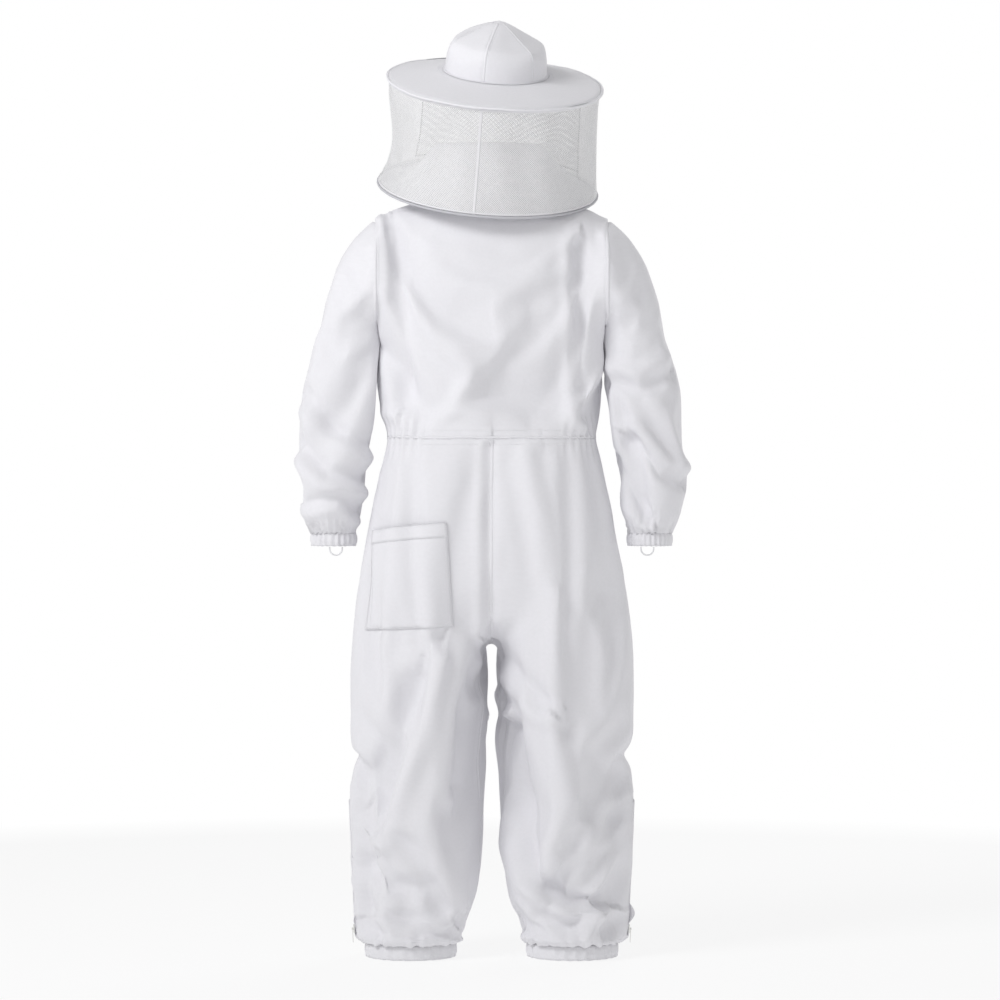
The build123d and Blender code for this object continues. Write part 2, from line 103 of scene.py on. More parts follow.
WINDOW_HALF = 50  # half the angle of the face window, in degrees
SKIRT_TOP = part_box("veil_skirt")[1].z
NECK_ZIP_R = 0.0848
FLOOR_Z = cad_box[0].z - 0.0005
VOXEL = 0.010  # spacing of the cloth's points before it falls
SKY_ABOVE = 0.42  # strength of the studio's ceiling, beside its white walls


def front_y(z):
    """Front of the suit at height z, on the line of the front zip."""
    return -NECK_R - FRONT_LEAN * (COLLAR_H - z)


def veil_frame(turn):
    """Frame of the hat and veil: origin at the lower hoop's centre, Z up its axis."""
    lean = Matrix.Rotation(math.radians(VEIL_TILT), 4, "X")
    roll = Matrix.Rotation(math.radians(VEIL_ROLL), 4, "Y")
    return Matrix.Translation(HOOP_AT) @ lean @ roll @ Matrix.Rotation(math.radians(turn), 4, "Z")


def moved(matrix, points):
    """Points, an array ending in 3, taken through a 4 x 4 matrix."""
    m = np.array(matrix)
    return points @ m[:3, :3].T + m[:3, 3]


# ---------------------------------------------------------------- materials
def shader(name, colour, roughness, **sockets):
    """A material with one Principled shader; returns (material, nodes, links, shader)."""
    mat = bpy.data.materials.new(name)
    mat.use_nodes = True
    nodes, links = mat.node_tree.nodes, mat.node_tree.links
    bsdf = nodes["Principled BSDF"]
    bsdf.inputs["Base Color"].default_value = (*colour, 1)
    bsdf.inputs["Roughness"].default_value = roughness
    for key, value in sockets.items():
        bsdf.inputs[key.replace("_", " ")].default_value = value
    return mat, nodes, links, bsdf


def math_node(nodes, links, operation, a, b=None):
    node = nodes.new("ShaderNodeMath")
    node.operation = operation
    for socket, value in zip(node.inputs, (a, b)):
        if isinstance(value, (int, float)):
            socket.default_value = value
        elif value is not None:
            links.new(value, socket)
    return node.outputs[0]


def noise_node(nodes, links, vector, scale, detail=3.0):
    node = nodes.new("ShaderNodeTexNoise")
    node.inputs["Scale"].default_value = scale
    node.inputs["Detail"].default_value = detail
    if vector is not None:
        links.new(vector, node.inputs["Vector"])
    return node.outputs[0]


def yarn_nodes(nodes, links, uv, pitch, diagonal=False):
    """Two crossing sets of yarns, each a wave of that pitch in metres; returns their heights."""
    waves = []
    for direction in ("X", "Y"):
        vector = uv
        if diagonal:
            turn = nodes.new("ShaderNodeMapping")
            turn.inputs["Rotation"].default_value = (0, 0, math.pi / 4)
            links.new(uv, turn.inputs["Vector"])
            vector = turn.outputs[0]
        wave = nodes.new("ShaderNodeTexWave")
        wave.bands_direction = direction
        wave.inputs["Scale"].default_value = math.pi / 10 / pitch
        wave.inputs["Distortion"].default_value = 0.6 if not diagonal else 0.25
        wave.inputs["Detail"].default_value = 1.0
        links.new(vector, wave.inputs["Vector"])
        waves.append(wave.outputs["Fac"])
    return waves


def bump_node(nodes, links, height, distance, strength, under=None):
    bump = nodes.new("ShaderNodeBump")
    bump.inputs["Distance"].default_value = distance
    bump.inputs["Strength"].default_value = strength
    links.new(height, bump.inputs["Height"])
    if under is not None:
        links.new(under, bump.inputs["Normal"])
    return bump.outputs[0]


def two_tone(nodes, links, factor, low, high, bsdf):
    """Base colour that runs from low to high with the factor."""
    ramp = nodes.new("ShaderNodeValToRGB")
    ramp.color_ramp.elements[0].position = 0.25
    ramp.color_ramp.elements[0].color = (*low, 1)
    ramp.color_ramp.elements[1].position = 0.75
    ramp.color_ramp.elements[1].color = (*high, 1)
    links.new(factor, ramp.inputs[0])
    links.new(ramp.outputs[0], bsdf.inputs["Base Color"])


def woven(name, colour, pitch=0.0006, relief=0.00010, wrinkle=0.0009, roughness=0.86, sheen=0.2):
    """Plain-woven cloth: yarns, fine crumple, slightly uneven colour, and painted shade in the gaps between the
    yarns.
    """
    mat, nodes, links, bsdf = shader(name, colour, roughness, Sheen_Weight=sheen, Sheen_Roughness=0.5)
    bsdf.inputs["Specular IOR Level"].default_value = 0.25
    uv = nodes.new("ShaderNodeUVMap").outputs[0]
    warp, weft = yarn_nodes(nodes, links, uv, pitch)
    weave = math_node(nodes, links, "MAXIMUM", warp, weft)
    crumple = noise_node(nodes, links, uv, 26.0, 5.0)
    creased = bump_node(nodes, links, crumple, wrinkle, 0.8)
    links.new(bump_node(nodes, links, weave, relief, 0.7, creased), bsdf.inputs["Normal"])
    slub = noise_node(nodes, links, uv, 160.0, 2.0)
    # colour darker in the gaps between the yarns, which is painted shade, and darker with the yarn's random slub,
    # which is its own tone
    gap_shade_and_slub = math_node(nodes, links, "ADD", math_node(nodes, links, "MULTIPLY", weave, 0.35),
                     math_node(nodes, links, "MULTIPLY", slub, 0.65))
    darker = tuple(c * 0.955 for c in colour)
    two_tone(nodes, links, gap_shade_and_slub, darker, colour, bsdf)
    rough = math_node(nodes, links, "ADD", math_node(nodes, links, "MULTIPLY", slub, 0.12), roughness - 0.06)
    links.new(rough, bsdf.inputs["Roughness"])
    return mat


def netting(name, colour, pitch, thread, haze):
    """Open knitted mesh: two crossing threads, clear between them but for a faint haze."""
    mat, nodes, links, bsdf = shader(name, colour, 0.6, Sheen_Weight=0.15)
    uv = nodes.new("ShaderNodeUVMap").outputs[0]
    a, b = yarn_nodes(nodes, links, uv, pitch, diagonal=True)
    height = math_node(nodes, links, "MAXIMUM", a, b)
    solid = math_node(nodes, links, "GREATER_THAN", height, 1 - thread)
    alpha = math_node(nodes, links, "MAXIMUM", solid, haze)
    links.new(alpha, bsdf.inputs["Alpha"])
    links.new(bump_node(nodes, links, height, 0.0003, 0.6), bsdf.inputs["Normal"])
    tone = noise_node(nodes, links, uv, 90.0, 2.0)
    two_tone(nodes, links, tone, tuple(c * 0.94 for c in colour), colour, bsdf)
    return mat


def rubbed(name, colour, roughness, metallic, scale=900.0, relief=0.00004, **sockets):
    """Metal, plastic or enamel with fine rubbing marks, on CAD pieces without a map."""
    mat, nodes, links, bsdf = shader(name, colour, roughness, Metallic=metallic, **sockets)
    place = nodes.new("ShaderNodeTexCoord").outputs["Object"]
    fine = noise_node(nodes, links, place, scale, 3.0)
    links.new(bump_node(nodes, links, fine, relief, 0.5), bsdf.inputs["Normal"])
    rough = math_node(nodes, links, "ADD", math_node(nodes, links, "MULTIPLY", fine, 0.2), roughness - 0.1)
    links.new(rough, bsdf.inputs["Roughness"])
    two_tone(nodes, links, fine, tuple(c * 0.9 for c in colour), colour, bsdf)
    return mat


WHITE = (0.755, 0.750, 0.782)
cotton = woven("cotton_drill", WHITE)
cotton_soft = woven("cotton_lining", (0.75, 0.745, 0.775), pitch=0.0007, wrinkle=0.0005)
cotton_tape = woven("cotton_tape", (0.77, 0.765, 0.79), pitch=0.0011, relief=0.0002, wrinkle=0.0002)
thread_white = woven("sewing_thread", (0.84, 0.835, 0.86), pitch=0.0003, wrinkle=0.0, roughness=0.6)
elastic_knit = woven("elastic_knit", (0.80, 0.80, 0.82), pitch=0.0016, relief=0.0003, wrinkle=0.0)
net_white = netting("white_netting", (0.90, 0.90, 0.91), 0.0030, 0.22, 0.05)
net_window = netting("window_netting", (0.60, 0.60, 0.62), 0.0022, 0.26, 0.06)
piping_dark = woven("dark_piping", (0.20, 0.20, 0.21), pitch=0.0008, wrinkle=0.0)
hoop_grey = woven("hoop_binding", (0.50, 0.50, 0.53), pitch=0.0008, wrinkle=0.0)
brass = rubbed("zip_metal", (0.78, 0.78, 0.76), 0.35, 1.0)
plastic_white = rubbed("zip_teeth", (0.80, 0.80, 0.82), 0.35, 0.0, Coat_Weight=0.2)
steel = rubbed("spring_wire", (0.55, 0.56, 0.58), 0.35, 1.0)


# ---------------------------------------------------------------- mesh helpers
def new_object(name, verts, faces, uvs=None, material=None):
    """Mesh object with smooth faces; uvs is one (u, v) for each corner of each face, in metres."""
    mesh = bpy.data.meshes.new(name)
    mesh.from_pydata(np.asarray(verts, float).tolist(), [], [list(map(int, f)) for f in faces])
    if uvs is not None:
        layer = mesh.uv_layers.new(name="cloth")
        layer.data.foreach_set("uv", np.asarray(uvs, np.float32).ravel())
    mesh.polygons.foreach_set("use_smooth", [True] * len(mesh.polygons))
    ob = bpy.data.objects.new(name, mesh)
    scene.collection.objects.link(ob)
    if material:
        mesh.materials.append(material)
    return ob


def applied(ob):
    """Turns ob's modifiers into its mesh."""
    graph = bpy.context.evaluated_depsgraph_get()
    mesh = bpy.data.meshes.new_from_object(ob.evaluated_get(graph), preserve_all_data_layers=True,
                                           depsgraph=graph)
    ob.modifiers.clear()
    ob.data = mesh
    return ob


def thickened(ob, thickness, offset=-1.0):
    """Gives a sheet its thickness: inward for offset -1, outward for 1."""
    mod = ob.modifiers.new("thickness", "SOLIDIFY")
    mod.thickness = thickness
    mod.offset = offset
    return applied(ob)


def sheet_grid(name, points, u, v, closed, material, thickness, offset=-1.0):
    """Cloth through a grid of points, rows by columns, with u and v along it in metres."""
    rows, cols = points.shape[:2]
    faces, uvs = [], []
    for k in range(rows - 1):
        for i in range(cols if closed else cols - 1):
            j = (i + 1) % cols
            faces.append((k * cols + i, k * cols + j, (k + 1) * cols + j, (k + 1) * cols + i))
            uvs += [(u[i], v[k]), (u[i + 1], v[k]), (u[i + 1], v[k + 1]), (u[i], v[k + 1])]
    ob = new_object(name, points.reshape(-1, 3), faces, uvs, material)
    return thickened(ob, thickness, offset) if thickness else ob


def ring_angles(count):
    return np.linspace(0, 2 * np.pi, count, endpoint=False)


def coords(ob):
    co = np.empty(len(ob.data.vertices) * 3)
    ob.data.vertices.foreach_get("co", co)
    return co.reshape(-1, 3)


def ramp(distance, width):
    """1 at no distance, easing to 0 at width."""
    t = np.clip(1 - np.abs(distance) / width, 0, 1)
    return t * t * (3 - 2 * t)


def unit(vectors):
    return vectors / np.maximum(np.linalg.norm(vectors, axis=-1, keepdims=True), 1e-12)


def resampled(points, normals, step):
    """The same line with even steps, lightly smoothed."""
    along = np.concatenate([[0], np.cumsum(np.linalg.norm(np.diff(points, axis=0), axis=1))])
    count = max(int(along[-1] / step), 2)
    at = np.linspace(0, along[-1], count + 1)
    out = [np.stack([np.interp(at, along, a[:, k]) for k in range(3)], 1) for a in (points, normals)]
    for a in out:
        for _ in range(2):
            a[1:-1] = (a[:-2] + 2 * a[1:-1] + a[2:]) / 4
    return out[0], unit(out[1])


def sides_of(points, normals):
    along = unit(np.gradient(points, axis=0))
    return along, unit(np.cross(along, normals))


def ribbon(name, lines, width, height, material, sink=0.0006):
    """Flat felled strips, slightly domed, along lines of (points, normals)."""
    section = [(-0.5, -sink), (-0.46, height * 0.7), (0, height), (0.46, height * 0.7), (0.5, -sink)]
    n = len(section)
    verts, faces, uvs = [], [], []
    for points, normals in lines:
        base = len(verts)
        _, side = sides_of(points, normals)
        along = np.concatenate([[0], np.cumsum(np.linalg.norm(np.diff(points, axis=0), axis=1))])
        for p, s, up in zip(points, side, normals):
            verts += [p + s * (a * width) + up * h for a, h in section]
        for k in range(len(points) - 1):
            for i in range(n):
                j = (i + 1) % n
                a, b = base + k * n, base + (k + 1) * n
                faces.append((a + i, b + i, b + j, a + j))
                across = [section[i][0] * width, section[j][0] * width if j else 0.6 * width]
                uvs += [(across[0], along[k]), (across[0], along[k + 1]), (across[1], along[k + 1]),
                        (across[1], along[k])]
        last = base + (len(points) - 1) * n
        faces += [tuple(base + i for i in range(n)), tuple(last + i for i in reversed(range(n)))]
        uvs += [(0, 0)] * (2 * n)
    return new_object(name, verts, faces, uvs, material)


STITCH = 0.0034  # one stitch and its gap
threads = {}  # body: list of (centre, along, side, up) of each stitch


def sew(body, lines, offset=0.0, lift=0.0004, step=STITCH):
    """Rows of stitches beside lines on a surface, offset to one side of them."""
    for points, normals in lines:
        _, side = sides_of(points, normals)
        row, up = resampled(points + side * offset + normals * lift, normals, step)
        along, side = sides_of(row, up)
        threads.setdefault(body, []).append(np.stack([row, along, side, up], 1))


def make_threads():
    """One mesh of real stitches for each body."""
    half, wide, thick = STITCH * 0.39, 0.00036, 0.00026
    shape = [(-half, 0, 0)]
    for a in (-half * 0.6, half * 0.6):
        shape += [(a, wide, 0), (a, 0, thick), (a, -wide, 0), (a, 0, -thick)]
    shape = np.array(shape + [(half, 0, 0)])
    facets = [(0, 1 + (i + 1) % 4, 1 + i) for i in range(4)]
    facets += [(1 + i, 1 + (i + 1) % 4, 5 + (i + 1) % 4, 5 + i) for i in range(4)]
    facets += [(9, 5 + i, 5 + (i + 1) % 4) for i in range(4)]
    made = []
    for body, rows in threads.items():
        frames = np.concatenate(rows)
        verts = frames[:, None, 0] + sum(shape[None, :, k, None] * frames[:, None, 1 + k] for k in range(3))
        faces = [tuple(n * 10 + i for i in f) for n in range(len(frames)) for f in facets]
        uvs = [(shape[i % 10][0], shape[i % 10][1]) for f in faces for i in f]
        ob = new_object(f"stitching_{body}", verts.reshape(-1, 3), faces, uvs, thread_white)
        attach(ob, body)
        made.append(ob)
    return made


def declare(ob, body, nodes):
    """Rides ob on its body and hides the CAD nodes that it stands for."""
    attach(ob, body)
    if nodes:
        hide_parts(*nodes)
    return ob


# ---------------------------------------------------------------- the sewn suit before it falls
# height, half width, front, back, power of the oval
TORSO = [
    (0.000, 0.086, -0.088, 0.086, 2.0), (-0.016, 0.098, -0.0895, 0.092, 2.0),
    (-0.045, 0.142, -0.0905, 0.108, 2.2), (-0.075, 0.182, -0.092, 0.126, 2.4),
    (-0.115, 0.204, -0.094, 0.146, 2.7), (-0.185, 0.210, -0.0975, 0.162, 2.8),
    (-0.300, 0.204, -0.1035, 0.160, 2.8), (-0.400, 0.200, -0.108, 0.150, 2.7),
    (-0.484, 0.197, -0.1125, 0.141, 2.6), (-0.520, 0.204, -0.114, 0.144, 2.6),
    (-0.575, 0.218, -0.117, 0.152, 2.6), (-0.665, 0.230, -0.1215, 0.158, 2.6),
    (-0.760, 0.240, -0.126, 0.152, 2.5), (-0.820, 0.180, -0.112, 0.126, 2.3),
    (-0.855, 0.080, -0.050, 0.060, 2.0),
]
# height, middle x, half width, half depth, power
LEG = [
    (-0.720, 0.122, 0.112, 0.136, 2.4), (-0.860, 0.1350, 0.1240, 0.136, 2.4),
    (-1.000, 0.1405, 0.1195, 0.131, 2.3), (-1.175, 0.1520, 0.1220, 0.128, 2.2),
    (-1.330, 0.1560, 0.1150, 0.120, 2.1), (-1.430, 0.1570, 0.1070, 0.111, 2.0),
    (-1.4525, 0.155, 0.0875, 0.0875, 2.0), (-1.470, 0.155, 0.0865, 0.0865, 2.0),
]
# turn from upright in degrees, outer end, inner end, half depth, about a line under the arm
SHOULDER = [(12, 0.191, 0.008, 0.099), (30, 0.150, 0.010, 0.096), (60, 0.111, 0.012, 0.090),
            (90, 0.108, 0.013, 0.086)]
BEND = (0.213, -0.292)
# height, inner side, outer side, half depth
SLEEVE = [
    (-0.400, 0.227, 0.352, 0.084), (-0.487, 0.229, 0.364, 0.082), (-0.575, 0.2445, 0.374, 0.080),
    (-0.645, 0.255, 0.358, 0.062), (CUFF_Z - 0.0005, CUFF_X - CUFF_R, CUFF_X + CUFF_R, CUFF_R),
    (CUFF_Z - 0.022, CUFF_X - CUFF_R, CUFF_X + CUFF_R, CUFF_R),
]
# the wearer's shape, which the cloth rests on and which is then taken away: as TORSO
BODY = [
    (0.030, 0.060, -0.060, 0.060, 2.0), (-0.010, 0.066, -0.066, 0.070, 2.0),
    (-0.040, 0.120, -0.070, 0.088, 2.2), (-0.075, 0.168, -0.074, 0.104, 2.4),
    (-0.120, 0.186, -0.080, 0.118, 2.6), (-0.200, 0.172, -0.086, 0.124, 2.5),
    (-0.320, 0.158, -0.082, 0.110, 2.4), (-0.440, 0.150, -0.078, 0.098, 2.3),
    (-0.520, 0.156, -0.080, 0.104, 2.3), (-0.640, 0.176, -0.084, 0.128, 2.4),
    (-0.740, 0.180, -0.080, 0.128, 2.4), (-0.840, 0.120, -0.060, 0.080, 2.2),
]
# height, middle x, middle y, radius
THIGH = [
    (-0.700, 0.095, 0.018, 0.090), (-0.860, 0.118, 0.014, 0.100), (-1.000, 0.132, 0.010, 0.088),
    (-1.110, 0.140, 0.010, 0.078), (-1.200, 0.146, 0.020, 0.076), (-1.320, 0.152, 0.020, 0.070),
    (-1.500, 0.155, 0.015, 0.060),
]
# x, z, radius, turn
ARM = [
    (0.150, -0.110, 0.066, 20), (0.215, -0.150, 0.062, 45), (0.255, -0.230, 0.054, 70),
    (0.272, -0.330, 0.050, 85), (0.282, -0.440, 0.044, 88), (0.296, -0.560, 0.038, 88),
    (0.303, -0.700, 0.030, 90),
]


def smooth_rows(rows, steps=4):
    """Rows of numbers, with eased rows between each two (Catmull-Rom)."""
    rows = np.array(rows, float)
    out = []
    for i in range(len(rows) - 1):
        p0, p1, p2, p3 = rows[max(i - 1, 0)], rows[i], rows[i + 1], rows[min(i + 2, len(rows) - 1)]
        for t in np.arange(steps) / steps:
            out.append(0.5 * (2 * p1 + (p2 - p0) * t + (2 * p0 - 5 * p1 + 4 * p2 - p3) * t * t
                              + (3 * p1 - p0 - 3 * p2 + p3) * t ** 3))
    out.append(rows[-1])
    return out


def level_ring(x, y0, y1, z, half, power):
    """Rounded oval at height z, from y0 to y1."""
    t = ring_angles(64)
    c, s = np.cos(t), np.sin(t)
    r = (np.abs(c) ** power + np.abs(s) ** power) ** (-1 / power)
    return np.stack([x + half * r * c, (y0 + y1) / 2 + (y1 - y0) / 2 * r * s, np.full(64, z)], 1)


def turned_ring(side, x, z, turn, depth, half):
    """Oval across the arm, turned from upright about the Y axis."""
    t, a = ring_angles(48), math.radians(turn)
    v = half * np.cos(t)
    return np.stack([side * (x + v * math.sin(a)), SEAM_Y + depth * np.sin(t), z + v * math.cos(a)], 1)


def sleeve_rings(side):
    rings = [turned_ring(side, x, ARM_Z, 0, ARM_R, ARM_R) for x in (0.200, 0.2213)]
    for turn, outer, inner, depth in SHOULDER:
        a, mid = math.radians(turn), (outer + inner) / 2
        at = BEND[0] + mid * math.sin(a), BEND[1] + mid * math.cos(a)
        rings.append(turned_ring(side, *at, turn, depth, (outer - inner) / 2))
    for z, inner, outer, depth in SLEEVE:
        rings.append(turned_ring(side, (inner + outer) / 2, z, 90, depth, (outer - inner) / 2))
    return rings


def closed_tube(rings):
    n = len(rings[0])
    faces = [(k * n + i, k * n + (i + 1) % n, (k + 1) * n + (i + 1) % n, (k + 1) * n + i)
             for k in range(len(rings) - 1) for i in range(n)]
    faces += [tuple(range(n))[::-1], tuple((len(rings) - 1) * n + i for i in range(n))]
    return np.concatenate(rings), faces


def merged_skin(name, tubes, voxel):
    """One skin round several closed tubes."""
    verts, faces = [], []
    for points, tube_faces in tubes:
        base = sum(len(v) for v in verts)
        verts.append(points)
        faces += [tuple(base + i for i in f) for f in tube_faces]
    ob = new_object(name, np.concatenate(verts), faces)
    bm = bmesh.new()
    bm.from_mesh(ob.data)
    bmesh.ops.recalc_face_normals(bm, faces=bm.faces)
    bm.to_mesh(ob.data)
    bm.free()
    mod = ob.modifiers.new("remesh", "REMESH")
    mod.mode, mod.voxel_size = "VOXEL", voxel
    return applied(ob)


def both_sides(tubes_of):
    return [tube for side in (1, -1) for tube in tubes_of(side)]


def suit_blank():
    """The sewn suit before it falls: one open surface with edges along its seams."""
    def limb(side):
        leg = [level_ring(side * x, SEAM_Y - d, SEAM_Y + d, z, w, p) for z, x, w, d, p in smooth_rows(LEG)]
        return [closed_tube(leg), closed_tube(sleeve_rings(side))]

    trunk = closed_tube([level_ring(0, f, b, z, w, p) for z, w, f, b, p in smooth_rows(TORSO)])
    ob = merged_skin("suit_cloth", [trunk] + both_sides(limb), VOXEL)
    bm = bmesh.new()
    bm.from_mesh(ob.data)
    for _ in range(6):
        bmesh.ops.smooth_vert(bm, verts=bm.verts, factor=0.5, use_axis_x=True, use_axis_y=True,
                              use_axis_z=True)

    def cut(co, no, where=None, **clear):
        faces = [f for f in bm.faces if where is None or where(f.calc_center_median())]
        geom = faces + list({e for f in faces for e in f.edges}) + list({v for f in faces for v in f.verts})
        bmesh.ops.bisect_plane(bm, geom=geom, dist=1e-5, plane_co=co, plane_no=no, **clear)

    cut((0, 0, -0.001), (0, 0, 1), clear_outer=True)
    cut((0, 0, HEM_Z), (0, 0, 1), clear_inner=True)
    cut((0, 0, CUFF_Z), (0, 0, 1), lambda c: abs(c.x) > 0.2555 and -0.72 < c.z < -0.60, clear_inner=True)
    cut((0, 0, WAIST_Z), (0, 0, 1), lambda c: abs(c.x) < 0.2145)
    cut((0, SEAM_Y, 0), (0, 1, 0))
    cut((0, 0, 0), (1, 0, 0))
    for s in (1, -1):
        cut((s * ARM_X, 0, 0), (1, 0, 0), lambda c, s=s: s * c.x > 0.2 and c.z > UNDERARM_Z)
    bmesh.ops.remove_doubles(bm, verts=bm.verts, dist=0.0012)
    bmesh.ops.delete(bm, geom=[v for v in bm.verts if not v.link_faces], context="VERTS")
    bm.to_mesh(ob.data)
    bm.free()
    return ob


def on_armhole(rest):
    x, y, z = rest.T
    return (np.abs(np.abs(x) - ARM_X) < 0.0013) & (np.hypot(y - SEAM_Y, z - ARM_Z) < 0.19)


def trued(rest):
    """The blank with round armholes, and with level strips for the zips to lie on."""
    rest = rest.copy()
    ring = on_armhole(rest)
    for side in (1, -1):
        here = ring & (rest[:, 0] * side > 0)
        radial = rest[:, 1:] - (SEAM_Y, ARM_Z)
        r, turn = np.linalg.norm(radial, axis=1), np.arctan2(radial[:, 1], radial[:, 0])
        order = np.argsort(turn[here])
        gap = np.interp(turn, turn[here][order], (ARM_R - r[here])[order], period=2 * np.pi)
        near = (rest[:, 0] * side > 0) & (r < 0.19) & (r > 0.06)
        pull = np.where(near, ramp(np.abs(rest[:, 0]) - ARM_X, 0.05), 0) * gap
        rest[:, 1:] += unit(radial) * pull[:, None]
        rest[here, 0] = side * ARM_X
    x, y, z = rest.T
    front = (y < -0.05) & (z > FRONT_ZIP_END - 0.05) & (np.abs(x) < 0.05)
    strip = ramp(np.maximum(np.abs(x) - 0.019, 0), 0.02) * ramp(np.maximum(FRONT_ZIP_END - 0.018 - z, 0), 0.03)
    sunk = front_y(z) + 0.0055 * ramp(np.maximum(np.abs(x) - 0.007, 0), 0.009)  # room for the slider
    rest[:, 1] = np.where(front, y + (sunk - y) * strip, y)
    side_x = ANKLE_FOOT[0] + (z - ANKLE_FOOT[1]) * (ANKLE_TOP[0] - ANKLE_FOOT[0]) / (ANKLE_TOP[1] - ANKLE_FOOT[1])
    flank = (np.abs(x) > 0.21) & (z < ANKLE_TOP[1] + 0.10) & (z > ANKLE_FOOT[1] - 0.004)
    strip = ramp(np.maximum(np.abs(y - SEAM_Y) - 0.014, 0), 0.02) * ramp(np.maximum(z - ANKLE_TOP[1], 0), 0.10)
    target = np.sign(x) * (side_x - 0.0022 * ramp(np.maximum(np.abs(y - SEAM_Y) - 0.009, 0), 0.010))
    rest[:, 0] = np.where(flank, x + (target - x) * strip, x)
    return rest


def arm_share(ob, rest):
    """1 at points of a sleeve, 0 on the rest of the suit and a half on the armhole seams."""
    ring = on_armhole(rest)
    near = [[] for _ in rest]
    for e in ob.data.edges:
        a, b = e.vertices
        near[a].append(b)
        near[b].append(a)
    share = np.zeros(len(rest))
    inside = (np.abs(rest[:, 0]) < ARM_X) & (rest[:, 2] > UNDERARM_Z)
    seeds = np.nonzero((np.abs(rest[:, 0]) > 0.26) & (rest[:, 2] > -0.30))[0].tolist()
    share[seeds] = 1
    while seeds:
        for b in near[seeds.pop()]:
            if share[b] == 0 and not ring[b] and not inside[b]:
                share[b] = 1
                seeds.append(b)
    share[ring] = 0.5
    return share


def gather_places(rest, arm):
    """How near each point is to a gathered edge: the sides of the waist, the hems and the cuffs."""
    x, _, z = rest.T
    side = np.clip((np.abs(x) - 0.11) / 0.06, 0, 1)
    waist = np.where(arm < 0.5, ramp(z - WAIST_Z, 0.10) * side, 0)
    hem = np.where(z < CROTCH_Z, ramp(z - HEM_Z, 0.12), 0)
    cuff = np.where(arm > 0.5, ramp(z - CUFF_Z, 0.10), 0)
    return waist, hem, cuff


def pin_places(rest, arm):
    """How firmly each point is held: the neck, zips, waist seam, armholes, hems and cuffs."""
    x, y, z = rest.T
    ax = np.abs(x)
    held = [ramp(z, 0.014), np.where(z < CROTCH_Z, ramp(z - HEM_Z, 0.012), 0),
            np.where(arm > 0.5, ramp(z - CUFF_Z, 0.012), 0), np.where(arm < 0.5, ramp(z - WAIST_Z, 0.010), 0),
            on_armhole(rest).astype(float)]
    front = ramp(np.maximum(ax - 0.019, 0), 0.012) * ramp(np.maximum(FRONT_ZIP_END - 0.024 - z, 0), 0.03)
    held.append(np.where(y < -0.05, front, 0))
    flank = ramp(np.maximum(np.abs(y - SEAM_Y) - 0.014, 0), 0.012)
    flank = flank * ramp(np.maximum(z - ANKLE_TOP[1], 0), 0.04)
    held.append(np.where((ax > 0.21) & (z < CROTCH_Z), flank, 0))
    outer = (ax > 0.2) & (z < CROTCH_Z)  # the side seams hold the legs out above their zips
    held.append(np.where(outer, 0.35 * ramp(np.abs(y - SEAM_Y), 0.060) * ramp(z - ANKLE_TOP[1], 0.22), 0))
    over = (np.hypot(y - SEAM_Y, z - ARM_Z) < 0.135) & (z > ARM_Z - 0.02)  # sleeve heads keep their rise
    held.append(np.where(over, 0.6 * ramp(ax - ARM_X, 0.030), 0))
    return np.max(held, axis=0)


def weight_group(ob, name, weights):
    group = ob.vertex_groups.new(name=name)
    levels = np.round(weights, 2)
    for w in np.unique(levels[levels > 0]):
        group.add(np.nonzero(levels == w)[0].tolist(), float(w), "REPLACE")
    return name


def wearer():
    """The shape that the cloth falls on."""
    t = ring_angles(32)

    def limb(side):
        leg = [np.stack([side * x + r * np.cos(t), y + r * np.sin(t), np.full(32, z)], 1)
               for z, x, y, r in smooth_rows(THIGH)]
        arm = [turned_ring(side, x, z, turn, r, r) for x, z, r, turn in smooth_rows(ARM)]
        return [closed_tube(leg), closed_tube(arm)]

    trunk = closed_tube([level_ring(0, f, b, z, w, p) for z, w, f, b, p in smooth_rows(BODY)])
    ob = merged_skin("wearer", [trunk] + both_sides(limb), 0.016)
    ob.modifiers.new("collision", "COLLISION")
    ob.collision.thickness_outer = 0.004
    ob.collision.cloth_friction = 12
    return ob


FALL_FRAMES = 30
FALL_LIMIT = 0.045  # no point of cloth may move further than this


def eased(ob, moves, free):
    """Moves of the points, each drawn towards those of its neighbours."""
    ends = np.empty(len(ob.data.edges) * 2, int)
    ob.data.edges.foreach_get("vertices", ends)
    a, b = ends.reshape(-1, 2).T
    count = np.bincount(ends, minlength=len(moves))[:, None]
    for _ in range(3):
        total = np.zeros_like(moves)
        np.add.at(total, a, moves[b])
        np.add.at(total, b, moves[a])
        moves = moves + (total / np.maximum(count, 1) - moves) * 0.6 * np.clip(free, 0, 1)[:, None]
    return moves


